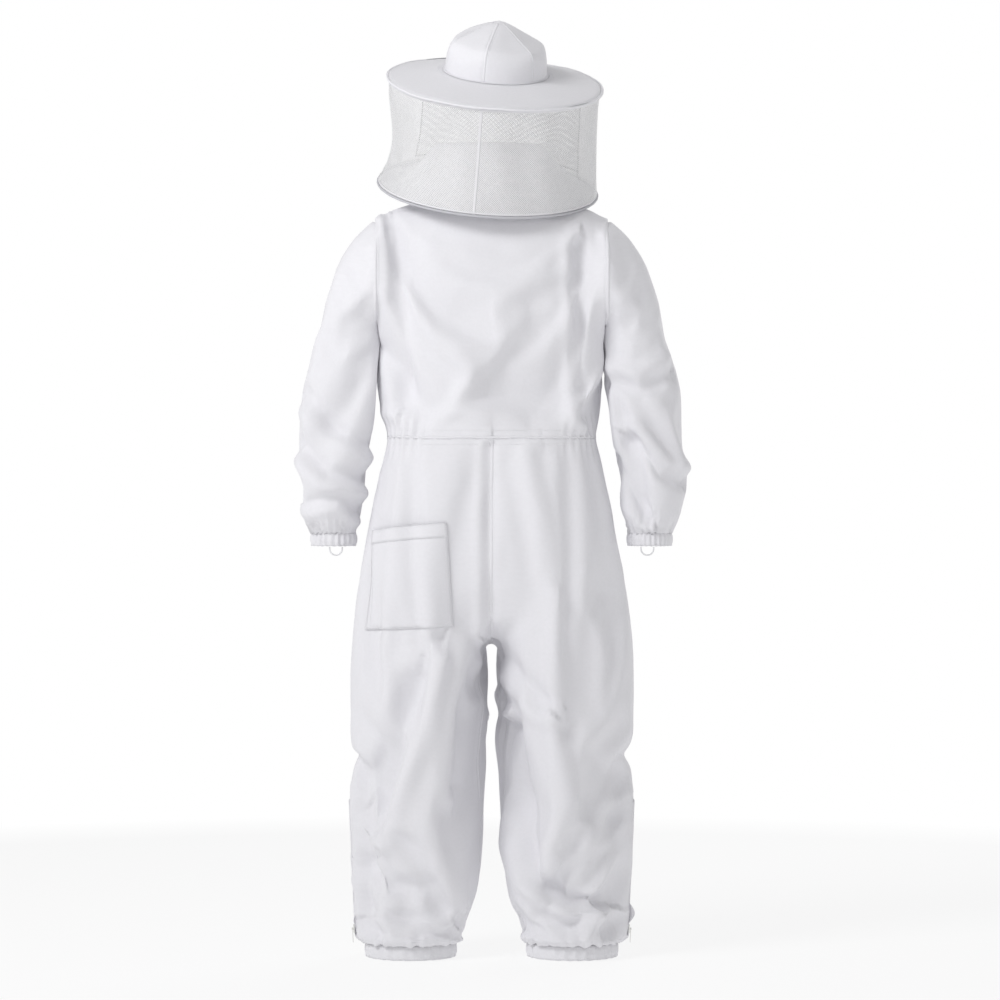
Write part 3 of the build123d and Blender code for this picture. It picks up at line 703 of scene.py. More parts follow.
def fall(ob, rest, arm):
    """Lets the cloth fall on the wearer, with its edges gathered by their elastic."""
    body = wearer()
    cloth = ob.modifiers.new("cloth", "CLOTH")
    st = cloth.settings
    st.quality, st.mass, st.air_damping = 6, 0.12, 2.0
    st.tension_stiffness, st.compression_stiffness, st.shear_stiffness = 30, 30, 8
    st.bending_stiffness = 3.0
    st.tension_damping, st.compression_damping, st.shear_damping, st.bending_damping = 6, 6, 6, 0.5
    st.vertex_group_mass = weight_group(ob, "pin", pin_places(rest, arm))
    st.vertex_group_shrink = weight_group(ob, "gather", np.max(gather_places(rest, arm), axis=0))
    st.shrink_min, st.shrink_max = -0.035, -0.20
    hit = cloth.collision_settings
    hit.distance_min, hit.collision_quality, hit.use_self_collision = 0.004, 2, False
    scene.gravity = (0, 0, -3.5)
    for f in range(1, FALL_FRAMES + 1):
        scene.frame_set(f)
    applied(ob)
    bpy.data.objects.remove(body)
    moves = eased(ob, coords(ob) - rest, 1 - pin_places(rest, arm))
    far = np.linalg.norm(moves, axis=1)
    fallen = rest + moves * np.minimum(1, FALL_LIMIT / np.maximum(far, 1e-9))[:, None]
    leg = rest[:, 2] < CROTCH_Z - 0.03  # the legs don't cross the middle
    side = np.sign(rest[:, 0])
    fallen[:, 0] = np.where(leg, side * np.maximum(fallen[:, 0] * side, 0.004), fallen[:, 0])
    return fallen


# ---------------------------------------------------------------- folds on top of the fall
# lines across the cloth, as (x, z), the side they are on, the depth and the width of the fold
FOLDS = [
    ([(0.178, -0.09), (0.171, -0.25), (0.176, -0.42)], 1, 0.010, 0.014),
    ([(-0.163, -0.12), (-0.171, -0.27), (-0.178, -0.44)], 1, 0.010, 0.013),
    ([(-0.032, -1.02), (-0.042, -1.13), (-0.060, -1.22), (-0.086, -1.29), (-0.14, -1.335), (-0.225, -1.37)],
     1, 0.020, 0.014),
    ([(-0.004, -0.87), (-0.055, -0.925), (-0.100, -0.965)], 1, 0.011, 0.017),
    ([(0.015, -0.87), (0.045, -0.99), (0.055, -1.12)], 1, 0.009, 0.018),
    ([(0.098, -0.89), (0.150, -1.06), (0.215, -1.24)], 1, -0.015, 0.020),
    ([(0.165, -0.93), (0.195, -1.03), (0.240, -1.13)], 1, 0.008, 0.020),
    ([(0.25, -1.30), (0.20, -1.325), (0.12, -1.315), (0.09, -1.36)], 1, 0.012, 0.020),
    ([(0.24, -1.40), (0.15, -1.40), (0.08, -1.375)], 1, -0.007, 0.014),
    ([(-0.16, -1.02), (-0.19, -1.15), (-0.15, -1.24)], 1, 0.007, 0.020),
    ([(-0.25, -1.20), (-0.20, -1.27), (-0.14, -1.30)], 1, 0.006, 0.016),
    ([(0.0, -0.50), (0.004, -0.66), (0.002, -0.84)], 1, 0.006, 0.011),
    ([(-0.10, -0.52), (-0.12, -0.62), (-0.13, -0.74)], 1, 0.005, 0.018),
    ([(0.350, -0.40), (0.300, -0.47), (0.245, -0.50)], 1, 0.010, 0.014),
    ([(0.365, -0.49), (0.310, -0.555), (0.250, -0.565)], 1, 0.011, 0.014),
    ([(0.345, -0.61), (0.290, -0.60), (0.255, -0.625)], 1, 0.007, 0.011),
    ([(-0.240, -0.53), (-0.270, -0.60), (-0.300, -0.64)], 1, 0.010, 0.012),
    ([(-0.372, -0.575), (-0.330, -0.56), (-0.270, -0.50)], 1, 0.012, 0.014),
    ([(-0.350, -0.36), (-0.300, -0.40), (-0.240, -0.39)], 1, 0.008, 0.016),
    ([(0.05, -1.05), (0.12, -1.20), (0.22, -1.30)], -1, 0.010, 0.020),
    ([(-0.05, -1.00), (-0.13, -1.16), (-0.22, -1.24)], -1, 0.010, 0.020),
    ([(0.06, -0.16), (0.13, -0.30), (0.17, -0.42)], -1, 0.006, 0.016),
]


def line_distance(x, z, path):
    """Signed distance of points from a polyline, in the plane of the back."""
    best, signed = np.full(len(x), 9.0), np.zeros(len(x))
    for (x0, z0), (x1, z1) in zip(path[:-1], path[1:]):
        dx, dz = x1 - x0, z1 - z0
        t = np.clip(((x - x0) * dx + (z - z0) * dz) / (dx * dx + dz * dz), 0, 1)
        ox, oz = x - x0 - t * dx, z - z0 - t * dz
        d = np.hypot(ox, oz)
        closer = d < best
        best[closer] = d[closer]
        signed[closer] = (np.sign(dx * oz - dz * ox) * d)[closer]
    return signed


def crumple(rest):
    """Small irregular creases over the whole cloth, about 0 and up to 1 deep."""
    total = np.zeros(len(rest))
    for _ in range(26):
        length = rng.uniform(0.035, 0.12)
        direction = unit(rng.normal(size=3) * (1, 1, 0.55))
        bend = np.sin(rest @ unit(rng.normal(size=3)) * 2 * np.pi / 0.23 + rng.uniform(0, 7)) * 0.9
        phase = rest @ direction * 2 * np.pi / length + bend + rng.uniform(0, 7)
        total += (1 - 2 * np.abs(np.sin(phase / 2)) ** 0.8) * length / 0.12
    return total / 8


def around(rest, centre_x):
    """Distance round a tube of cloth whose axis is at centre_x."""
    return np.arctan2(rest[:, 1] - SEAM_Y, rest[:, 0] - centre_x)


def ripples(turn, seed):
    """Uneven gathers round a drawn-in edge, from -1 to 1."""
    pick = np.random.default_rng(seed)
    total = np.zeros_like(turn)
    for count in pick.integers(15, 34, 5):
        total += np.sin(turn * count + pick.uniform(0, 7)) * pick.uniform(0.5, 1)
    return total / 2.6


def gathers(rest, arm):
    """Height of the gathers beside each drawn-in edge, in metres."""
    x, _, z = rest.T
    side = np.sign(x)
    out = np.zeros(len(rest))
    near_hem = np.where(z < CROTCH_Z, ramp(z - HEM_Z, 0.055), 0)
    near_cuff = np.where(arm > 0.5, ramp(z - CUFF_Z, 0.055), 0)
    for s in (1, -1):
        mine = side == s
        out += np.where(mine, near_hem * ripples(around(rest, s * HEM_X), 30 + s), 0) * 0.0042
        out += np.where(mine, near_cuff * ripples(around(rest, s * CUFF_X), 40 + s), 0) * 0.0034
    flank = np.clip((np.abs(x) - 0.12) / 0.03, 0, 1) * np.where(arm < 0.5, ramp(z - WAIST_Z, 0.06), 0)
    out += flank * ripples(around(rest, 0) * 2.2, 50) * 0.0046
    return out


def held_flat(rest, arm):
    """1 where cloth may crumple, 0 at pinned edges."""
    return 1 - np.clip(pin_places(rest, arm), 0, 1)


def normals_of(ob):
    ob.data.update()
    no = np.empty(len(ob.data.vertices) * 3)
    ob.data.vertex_normals.foreach_get("vector", no)
    return no.reshape(-1, 3)


def finish_cloth(ob, rest, arm):
    """Adds folds, creases and gathers to the fallen cloth."""
    no = normals_of(ob)
    co = coords(ob)
    free = held_flat(rest, arm)
    height = crumple(rest) * 0.0011 * free + gathers(rest, arm)
    on_body = arm < 0.5
    for path, facing, depth, width in FOLDS:
        d = line_distance(rest[:, 0], rest[:, 2], path)
        valley = -np.exp(-((d / width) ** 2)) + 0.75 * np.exp(-(((d - 1.9 * width) / width) ** 2))
        sleeve = abs(path[0][0]) > 0.235 and path[0][1] > CROTCH_Z
        where = (on_body != sleeve) & ((rest[:, 1] - SEAM_Y) * facing > 0.01)
        height += np.where(where, valley * depth * free, 0)
    ob.data.vertices.foreach_set("co", (co + no * height[:, None]).ravel())
    ob.data.update()


# ---------------------------------------------------------------- lines on the cloth
class Surface:
    """The finished suit as arrays: places, normals, rest places and triangles."""

    def __init__(self, ob, rest, arm):
        self.co, self.rest, self.arm, self.no = coords(ob), rest, arm, normals_of(ob)
        ob.data.calc_loop_triangles()
        tri = np.empty(len(ob.data.loop_triangles) * 3, int)
        ob.data.loop_triangles.foreach_get("vertices", tri)
        self.tri = tri.reshape(-1, 3)
        self.tree = BVHTree.FromPolygons(self.co.tolist(), self.tri.tolist())

    def lines(self, field, keep, step=0.004, shortest=0.03):
        """Lines where field, one number for each point, passes through 0, within keep."""
        f = field[self.tri]
        crossing = (f.min(1) < 0) & (f.max(1) >= 0) & keep[self.tri].all(1)
        links, where = {}, {}
        for t in self.tri[crossing]:
            ends = []
            for p, q in ((t[0], t[1]), (t[1], t[2]), (t[2], t[0])):
                if (field[p] < 0) != (field[q] < 0):
                    key = (min(p, q), max(p, q))
                    s = field[key[0]] / (field[key[0]] - field[key[1]])
                    where[key] = [a[key[0]] * (1 - s) + a[key[1]] * s for a in (self.co, self.no)]
                    ends.append(key)
            for a, b in (ends, ends[::-1]):
                links.setdefault(a, []).append(b)
        found, seen = [], set()
        for start in sorted(links, key=lambda k: (len(links[k]), k)):
            if start in seen:
                continue
            chain, at = [start], start
            seen.add(start)
            while True:
                onward = [k for k in links[at] if k not in seen]
                if not onward:
                    break
                at = onward[0]
                seen.add(at)
                chain.append(at)
            if len(chain) > 2 and start in links[at]:
                chain.append(start)
            points, normals = (np.array([where[k][i] for k in chain]) for i in (0, 1))
            if np.linalg.norm(np.diff(points, axis=0), axis=1).sum() > shortest:
                found.append(resampled(points, normals, step))
        return found

    def hit(self, origin, direction):
        """Where a ray first meets the cloth: (place, normal), or None."""
        place, normal, _, _ = self.tree.ray_cast(Vector(origin), Vector(direction))
        return None if place is None else (np.array(place), np.array(normal))


def cut_panels(ob, rest, arm):
    """Splits the suit into its sewn panels, each a solid sheet that stands for its CAD node."""
    faces = [tuple(p.vertices) for p in ob.data.polygons]
    mid = np.array([rest[list(f)].mean(0) for f in faces])
    on_arm = np.array([arm[list(f)].mean() for f in faces]) > 0.5
    side = np.where(mid[:, 0] > 0, "left", "right")
    back, upper = mid[:, 1] > SEAM_Y, mid[:, 2] > WAIST_Z
    names = np.select(
        [on_arm, upper & back, upper, back],
        [np.char.add("sleeve_", side), np.full(len(side), "back_bodice", dtype="<U24"),
         np.char.add("front_bodice_", side), np.char.add("back_trouser_", side)],
        np.char.add("front_trouser_", side))
    co = coords(ob)
    made = {}
    for name in np.unique(names):
        own = [faces[i] for i in np.nonzero(names == name)[0]]
        used = np.unique(np.concatenate([np.array(f) for f in own]))
        where = np.full(len(co), -1)
        where[used] = np.arange(len(used))
        r = rest[used]
        centre_x = {"sleeve": CUFF_X, "bodice": 0, "trouser": HEM_X}[
            "sleeve" if "sleeve" in name else name.split("_")[1]]
        centre_x *= -1 if "right" in name else 1
        turn = np.arctan2(r[:, 1] - SEAM_Y, (r[:, 0] - centre_x))
        girth = 0.125 if centre_x else 0.19
        u, v = turn * girth, r[:, 2]
        local = [tuple(where[list(f)]) for f in own]
        uvs = []
        for f in local:
            a = u[list(f)]
            a = np.where(a.max() - a > np.pi * girth, a + 2 * np.pi * girth, a)
            uvs += list(zip(a, v[list(f)]))
        piece = new_object(f"{name}_cloth", co[used], local, uvs, cotton)
        thickened(piece, 0.0009)
        body = f"{name}_body" if "sleeve" in name else "root"
        declare(piece, body, [name])
        made[name] = piece
    return made


def make_suit():
    """The cloth of the suit, fallen and finished; returns its surface for the seams and pockets."""
    ob = suit_blank()
    rest = trued(coords(ob))
    ob.data.vertices.foreach_set("co", rest.ravel())
    ob.data.update()
    arm = arm_share(ob, rest)
    fallen = fall(ob, rest, arm)
    ob.data.vertices.foreach_set("co", fallen.ravel())
    for name, kind, value in (("rest_place", "FLOAT_VECTOR", rest), ("arm_share", "FLOAT", arm)):
        attribute = ob.data.attributes.new(name, kind, "POINT")
        attribute.data.foreach_set("vector" if kind == "FLOAT_VECTOR" else "value",
                                   np.asarray(value, np.float32).ravel())
    mod = ob.modifiers.new("fine", "SUBSURF")
    mod.levels = mod.render_levels = 1
    applied(ob)
    count = len(ob.data.vertices)
    fine_rest, fine_arm = np.empty(count * 3, np.float32), np.empty(count, np.float32)
    ob.data.attributes["rest_place"].data.foreach_get("vector", fine_rest)
    ob.data.attributes["arm_share"].data.foreach_get("value", fine_arm)
    rest, arm = fine_rest.reshape(-1, 3).astype(float), fine_arm.astype(float)
    finish_cloth(ob, rest, arm)
    surface = Surface(ob, rest, arm)
    cut_panels(ob, rest, arm)
    bpy.data.objects.remove(ob)
    return surface


def make_seams(suit):
    """Felled seams with two rows of stitches, and rows of stitching over the casings."""
    x, y, z = suit.rest.T
    body, sleeve = suit.arm < 0.45, suit.arm > 0.55
    seams = []
    seams += suit.lines(y - SEAM_Y - 1e-5, body & (z > WAIST_Z))
    flank = (np.abs(x) > 0.2) & (z < ANKLE_TOP[1] + 0.012)
    seams += suit.lines(y - SEAM_Y - 1e-5, body & (z < WAIST_Z) & ~flank)
    seams += suit.lines(x - 1e-5, body & (y > 0) & (z < WAIST_Z))
    seams += suit.lines(x - 1e-5, body & (y < 0) & (z < FRONT_ZIP_END - 0.008))
    ob = ribbon("felled_seams", seams, 0.0075, 0.0005, cotton)
    declare(ob, "root", [])
    for offset in (-0.0024, 0.0024):
        sew("root", seams, offset)
    holes = suit.lines(np.abs(x) - ARM_X, np.hypot(y - SEAM_Y, z - ARM_Z) < 0.13, shortest=0.3)
    ob = ribbon("armhole_seams", holes, 0.0060, 0.0004, cotton)
    declare(ob, "root", [])
    inner = suit.lines(np.abs(x) - ARM_X + 0.006, body & (np.hypot(y - SEAM_Y, z - ARM_Z) < 0.14), shortest=0.1)
    sew("root", inner)
    for s, name in ((1, "left"), (-1, "right")):
        under = suit.lines(y - SEAM_Y - 1e-5, sleeve & (x * s > ARM_X + 0.010) & (np.abs(x) < 0.30))
        under = [l for l in under if l[0][:, 2].mean() < -0.3]
        ob = ribbon(f"sleeve_seam_{name}", under, 0.0075, 0.0005, cotton)
        declare(ob, f"sleeve_{name}_body", [])
        for offset in (-0.0024, 0.0024):
            sew(f"sleeve_{name}_body", under, offset)
        above = suit.lines(z - CUFF_Z - 0.006, sleeve & (x * s > 0), shortest=0.1)
        sew(f"sleeve_{name}_body", above)
    waist_rows = [suit.lines(z - WAIST_Z - dz, body & (np.abs(z - WAIST_Z) < 0.04), shortest=0.3)
                  for dz in (-0.013, 0.0, 0.013)]
    for row in (waist_rows[0], waist_rows[2]):
        sew("root", row)
    seam = ribbon("waist_seam", waist_rows[1], 0.0050, 0.0006, cotton)
    declare(seam, "root", [])
    sew("root", waist_rows[1], 0.0034)
    lining = [(p - n * 0.0090, n) for p, n in waist_rows[1]]
    casing = ribbon("waist_casing_cloth", lining, 0.032, 0.0010, cotton_soft, sink=0.0012)
    declare(casing, "root", ["waist_casing", "waist_elastics"])
    sew("root", suit.lines(z - HEM_Z - 0.007, body & (z < CROTCH_Z), shortest=0.1))
    for dx in (0.0275, 0.0205):
        beside = body & (y < -0.03) & (z > FRONT_ZIP_END - 0.02) & (z < -0.004)
        sew("root", suit.lines(np.abs(x) - dx, beside))
    guards = suit.lines(np.abs(x) - 0.0205, body & (y < -0.03) & (z > FRONT_ZIP_END - 0.004) & (z < -0.003))
    facing = ribbon("front_zip_facing", guards, 0.0095, 0.0009, cotton, sink=0.0012)
    declare(facing, "root", [])
    beside = (np.abs(x) > 0.2) & (z < ANKLE_TOP[1] + 0.004) & (z > HEM_Z + 0.004)
    guards = suit.lines(np.abs(y - SEAM_Y) - 0.0155, beside)
    facing = ribbon("ankle_zip_facing", guards, 0.0075, 0.0009, cotton, sink=0.0012)
    declare(facing, "root", [])
    sew("root", guards, 0.0, lift=0.0012)


# ---------------------------------------------------------------- bands, collar, zips
def gathered_band(name, centre, top, height, radius, wall, depth, seed, material, turns=1.0):
    """Casing drawn in by its elastic: a closed ring with uneven gathers."""
    n = 220
    t = ring_angles(n)
    gather = ripples(t, seed)
    rows = []
    levels = np.linspace(0, 1, 9)
    for s in levels:
        swell = 0.35 + 0.65 * math.sin(math.pi * s)
        dip = 0.0009 if s in (levels[1], levels[-2]) else 0
        r = radius + gather * depth * swell - dip + 0.0008 * math.sin(math.pi * s)
        edge = gather * depth * 0.35 * (s > 0.9)
        rows.append(np.stack([centre[0] + r * np.cos(t), centre[1] + r * np.sin(t), top - height * s + edge], 1))
    for s in levels[::-1]:
        r = radius - wall + gather * depth * 0.5 * math.sin(math.pi * s)
        rows.append(np.stack([centre[0] + r * np.cos(t), centre[1] + r * np.sin(t),
                              np.full(n, top - height * s) + gather * depth * 0.35 * (s > 0.9)], 1))
    rows.append(rows[0])
    points = np.array(rows)
    m = len(rows) - 1
    faces, uvs = [], []
    u = np.linspace(0, 2 * np.pi * radius * 1.6, n + 1)
    v = np.concatenate([levels * height, height * 2 - levels[::-1] * height, [2.2 * height]])
    for k in range(m):
        for i in range(n):
            j, up = (i + 1) % n, (k + 1) % m
            faces.append((k * n + i, up * n + i, up * n + j, k * n + j))
            uvs += [(u[i], v[k]), (u[i], v[k + 1]), (u[i + 1], v[k + 1]), (u[i + 1], v[k])]
    ob = new_object(name, points[:m].reshape(-1, 3), faces, uvs, material)
    for s in (levels[1], levels[-2]):
        r = radius + gather * depth * (0.35 + 0.65 * math.sin(math.pi * s)) - 0.0009
        row = np.stack([centre[0] + r * np.cos(t), centre[1] + r * np.sin(t), np.full(n, top - height * s)], 1)
        out = np.stack([np.cos(t), np.sin(t), np.zeros(n)], 1)
        close = [np.concatenate([a, a[:1]]) for a in (row, out)]
        band_rows.setdefault(name, []).append(resampled(*close, 0.003))
    return ob


band_rows = {}


def make_bands():
    for s, name in ((1, "left"), (-1, "right")):
        cuff = gathered_band(f"cuff_{name}", (s * CUFF_X, SEAM_Y), CUFF_Z + 0.001, CUFF_H, CUFF_R + 0.0005,
                             0.0048, 0.0019, 60 + s, cotton)
        declare(cuff, f"sleeve_{name}_body", [f"cuff_casing_{name}", f"cuff_elastic_{name}"])
        sew(f"sleeve_{name}_body", band_rows[cuff.name])
        hem = gathered_band(f"ankle_hem_{name}", (s * HEM_X, SEAM_Y), HEM_Z + 0.001, HEM_H, HEM_R + 0.0005,
                            0.0048, 0.0022, 70 + s, cotton)
        nodes = [f"ankle_casing_{name}"] + (["ankle_elastics"] if s > 0 else [])
        declare(hem, "root", nodes)
        sew("root", band_rows[hem.name])


def make_collar():
    """Stand collar of two layers, open at the front zip."""
    open_half = math.asin((ZIP_HALF + 0.0002) / NECK_R)
    t = np.linspace(-math.pi / 2 + open_half, 1.5 * math.pi - open_half, 150)
    levels = np.linspace(0, 1, 12)
    rows = []
    for s in levels:
        wave = 0.0008 * np.sin(5 * t + 1) * math.sin(math.pi * s) + 0.0005 * np.sin(13 * t)
        r = NECK_R - 0.0002 + wave - 0.0006 * (s > 0.96) - 0.0008 * (s < 0.04)
        rows.append(np.stack([r * np.cos(t), r * np.sin(t), np.full(150, (COLLAR_H - 0.0006) * s)], 1))
    points = np.array(rows)
    ob = sheet_grid("stand_collar", points, t * NECK_R, levels * COLLAR_H, False, cotton, 0.0020, 1.0)
    declare(ob, "root", ["collar"])
    out = np.stack([np.cos(t), np.sin(t), np.zeros(150)], 1)
    lines = [resampled(points[k] + out * 0.0002, out, 0.004) for k in (1, 10)]
    sew("root", lines)
    foot = [resampled(points[0] + out * 0.0002, out, 0.004)]
    declare(ribbon("neck_seam", foot, 0.0050, 0.0008, cotton), "root", [])


def teeth_mesh(name, rows, body, slot_nodes, pitch=0.0031):
    """Moulded teeth along rows; each row is (points, outward, towards the other row)."""
    verts, faces, uvs = [], [], []
    box = [(-0.0008, -0.0008, 0), (0.0008, -0.0008, 0), (0.0008, 0.0020, 0), (-0.0008, 0.0020, 0),
           (-0.0011, -0.0006, 1), (0.0011, -0.0006, 1), (0.0011, 0.0018, 1), (-0.0011, 0.0018, 1)]
    quads = [(0, 3, 2, 1), (4, 5, 6, 7), (0, 1, 5, 4), (1, 2, 6, 5), (2, 3, 7, 6), (3, 0, 4, 7)]
    for points, outward, across, length, shift in rows:
        along_all = np.concatenate([[0], np.cumsum(np.linalg.norm(np.diff(points, axis=0), axis=1))])
        for d in np.arange(pitch / 2 + shift, along_all[-1], pitch):
            p, o, c = (np.array([np.interp(d, along_all, a[:, k]) for k in range(3)])
                       for a in (points, outward, across))
            q = np.array([np.interp(d + 1e-4, along_all, points[:, k]) for k in range(3)])
            run = unit(q - p)
            base = len(verts)
            verts += [p + run * a - o * b + c * (length * w) for a, b, w in box]
            faces += [tuple(base + i for i in f) for f in quads]
            uvs += [(0.001 * (i % 4), 0.001 * (i // 4)) for f in quads for i in f]
    ob = new_object(name, verts, faces, uvs, plastic_white)
    bm = bmesh.new()
    bm.from_mesh(ob.data)
    bmesh.ops.bevel(bm, geom=bm.edges, offset=0.00025, segments=1, affect="EDGES")
    bmesh.ops.recalc_face_normals(bm, faces=bm.faces)
    bm.to_mesh(ob.data)
    bm.free()
    ob.data.polygons.foreach_set("use_smooth", [False] * len(ob.data.polygons))
    return declare(ob, body, slot_nodes)


def zip_rows(points, outward, side):
    """Two rows of teeth whose heads meet in the middle, from the zip's centre line."""
    reach, gap = 0.0037, 0.0003
    return [(points + side * (s * (gap + reach)), outward, side * -s, reach, 0.00155 if s > 0 else 0.0)
            for s in (1, -1)]


def tape_strip(name, points, outward, side, inner, outer, material=None):
    """Two woven tapes, one each side of a zip's centre line, with corded inner edges."""
    made_v, made_f, made_uv = [], [], []
    widths = np.linspace(inner, outer, 6)
    along = np.concatenate([[0], np.cumsum(np.linalg.norm(np.diff(points, axis=0), axis=1))])
    for s in (1, -1):
        top = [points + side * (s * w) - outward * (0.0002 if i else -0.0001) for i, w in enumerate(widths)]
        low = [points + side * (s * w) - outward * 0.0010 for w in widths[::-1]]
        loop = top + low
        n, base = len(loop), len(made_v)
        for k in range(len(points)):
            made_v += [row[k] for row in loop]
        for k in range(len(points) - 1):
            for i in range(n):
                j = (i + 1) % n
                a, b = base + k * n, base + (k + 1) * n
                made_f.append((a + i, b + i, b + j, a + j) if s > 0 else (a + j, b + j, b + i, a + i))
                quad = [(0.003 * i, along[k]), (0.003 * i, along[k + 1]), (0.003 * i + 0.003, along[k + 1]),
                        (0.003 * i + 0.003, along[k])]
                made_uv += quad if s > 0 else quad[::-1]
        last = base + (len(points) - 1) * n
        made_f += [tuple(base + i for i in range(n)), tuple(last + i for i in reversed(range(n)))]
        made_uv += [(0, 0)] * (2 * n)
    return new_object(name, made_v, made_f, made_uv, material or cotton_tape)


def make_zips():
    z = np.linspace(COLLAR_H - 0.001, FRONT_ZIP_END, 160)
    line = np.stack([0 * z, front_y(z), z], 1)
    lean = math.atan(FRONT_LEAN)
    out = np.tile([0, -math.cos(lean), math.sin(lean)], (160, 1))
    side = np.tile([1.0, 0, 0], (160, 1))
    declare(tape_strip("front_zip_tape", line, out, side, 0.0034, ZIP_HALF), "root", ["front_zip_tapes"])
    teeth_mesh("front_zip_chain", zip_rows(line, out, side), "root", ["front_zip_teeth"])
    for s, name in ((1, "left"), (-1, "right")):
        t = np.linspace(0, 1, 60)
        x = s * (ANKLE_FOOT[0] + (ANKLE_TOP[0] - ANKLE_FOOT[0]) * t)
        line = np.stack([x, np.full(60, SEAM_Y), ANKLE_FOOT[1] + (ANKLE_TOP[1] - ANKLE_FOOT[1]) * t], 1)
        run = unit(line[-1] - line[0])
        out = np.tile(unit(np.array([s * run[2], 0, -s * run[0]])), (60, 1))
        side = np.tile([0, 1.0, 0], (60, 1))
        tape = tape_strip(f"ankle_zip_tape_{name}", line, out, side, 0.0034, ANKLE_TAPE_HALF)
        declare(tape, "root", [f"ankle_zip_{name}"])
        teeth_mesh(f"ankle_zip_chain_{name}", zip_rows(line, out, side), "root", [])
        make_ankle_flap(s, name, line, out)
    t = np.linspace(0, 2 * np.pi, 200)
    out = np.stack([np.cos(t), np.sin(t), 0 * t], 1)
    teeth_z = (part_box("neck_zip_lower")[1].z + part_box("neck_zip_upper")[0].z) / 2
    up = np.tile([0, 0, 1.0], (200, 1))
    for name, body, sign, edge in (("lower", "root", -1, COLLAR_H), ("upper", "veil", 1, SKIRT_TOP)):
        ring = out * NECK_ZIP_R + np.array([0, 0, teeth_z])
        levels = np.linspace(teeth_z + sign * 0.0030, edge - sign * 0.0004, 5)
        points = np.array([out[:-1] * (NECK_ZIP_R + 0.0002) + np.array([0, 0, h]) for h in levels])
        tape = sheet_grid(f"neck_zip_tape_{name}", points[::-sign], t * NECK_ZIP_R, levels[::-sign], True,
                          cotton_tape, 0.0010, 0.0)
        declare(tape, body, [f"neck_zip_{name}"])
        row = [(ring + up * (sign * 0.0040), out, up * -sign, 0.0037, 0.00155 if sign > 0 else 0)]
        teeth_mesh(f"neck_zip_chain_{name}", row, body, [])


def make_ankle_flap(s, name, line, out):
    """Storm flap inside the ankle zip; its free corner turns out past the leg."""
    rows = []
    z = line[:, 2]
    tip = ramp(z - (-1.396), 0.030) if s < 0 else ramp(z - (-1.41), 0.020) * 0.4
    for w in np.linspace(-0.014, 0.0205, 10):
        back = np.clip((w - 0.008) / 0.0125, 0, 1)
        lift = -0.0048 + back * tip * 0.0150
        row = line - out * 0 + np.array([0, 1.0, 0]) * w + out * lift[:, None]
        rows.append(row)
    points = np.array(rows)
    v = np.abs(z - z[0])
    ob = sheet_grid(f"ankle_flap_{name}_cloth", points, v, np.linspace(0, 0.0345, 10), False, cotton, 0.0010, 0.0)
    declare(ob, "root", [f"ankle_flap_{name}"])


# ---------------------------------------------------------------- pockets
def patch(suit, name, corner_places, cast, bag, replaced, body="root", hem=0.026, shape=(30, 34)):
    """Patch pocket on the cloth: a grid over four corners, cast onto the surface, open at its top."""
    rows, cols = shape
    (tl, tr), (bl, br) = corner_places
    points, outs = np.zeros((rows, cols, 3)), np.zeros((rows, cols, 3))
    for k, t in enumerate(np.linspace(0, 1, rows)):
        for i, s in enumerate(np.linspace(0, 1, cols)):
            a, z = (1 - t) * ((1 - s) * np.array(tl) + s * np.array(tr)) + t * ((1 - s) * np.array(bl) + s * np.array(br))
            points[k, i], outs[k, i] = cast(a, z)
    for grid in (points, outs):
        for _ in range(2):
            grid[1:-1, 1:-1] = (grid[1:-1, 1:-1] * 2 + grid[:-2, 1:-1] + grid[2:, 1:-1]
                                + grid[1:-1, :-2] + grid[1:-1, 2:]) / 6
    outs = unit(outs)
    t, s = np.meshgrid(np.linspace(0, 1, rows), np.linspace(0, 1, cols), indexing="ij")
    across = np.clip(np.sin(np.pi * s), 0, 1) ** 0.6
    down = np.clip(np.minimum((1 - t) / 0.28, 1), 0, 1) ** 0.7
    lift = 0.0016 + bag * across * down + 0.0006 * np.sin(s * 17 + 2) * across * (t < 0.2)
    width = np.linalg.norm(np.diff(points[rows // 2], axis=0), axis=1).sum()
    height = np.linalg.norm(np.diff(points[:, cols // 2], axis=0), axis=1).sum()
    surface = points + outs * lift[..., None]
    u, v = np.linspace(0, width, cols), np.linspace(0, -height, rows)
    ob = sheet_grid(f"{name}_cloth", surface, u, v, False, cotton, 0.0011, 0.0)
    declare(ob, body, replaced)
    band = int(round(hem / height * (rows - 1)))
    fold = surface[: band + 1] + outs[: band + 1] * 0.0008
    strip = sheet_grid(f"{name}_hem", fold, u, v[: band + 1], False, cotton, 0.0008, 0.0)
    declare(strip, body, [])
    top = surface + outs * 0.0007
    sew(body, [resampled(top[band] + outs[band] * 0.0006, outs[band], 0.004)], -0.0016)
    sew(body, [resampled(top[0] + outs[0] * 0.0006, outs[0], 0.004)], -0.0016)
    edge = [np.concatenate([g[:, 0], g[-1, 1:], g[::-1, -1][1:]]) for g in (top, outs)]
    for inset in (0.0018, 0.0072):
        inner = inset_edge(top, outs, inset, width, height)
        sew(body, [resampled(*inner, 0.004)])
    return ob, edge


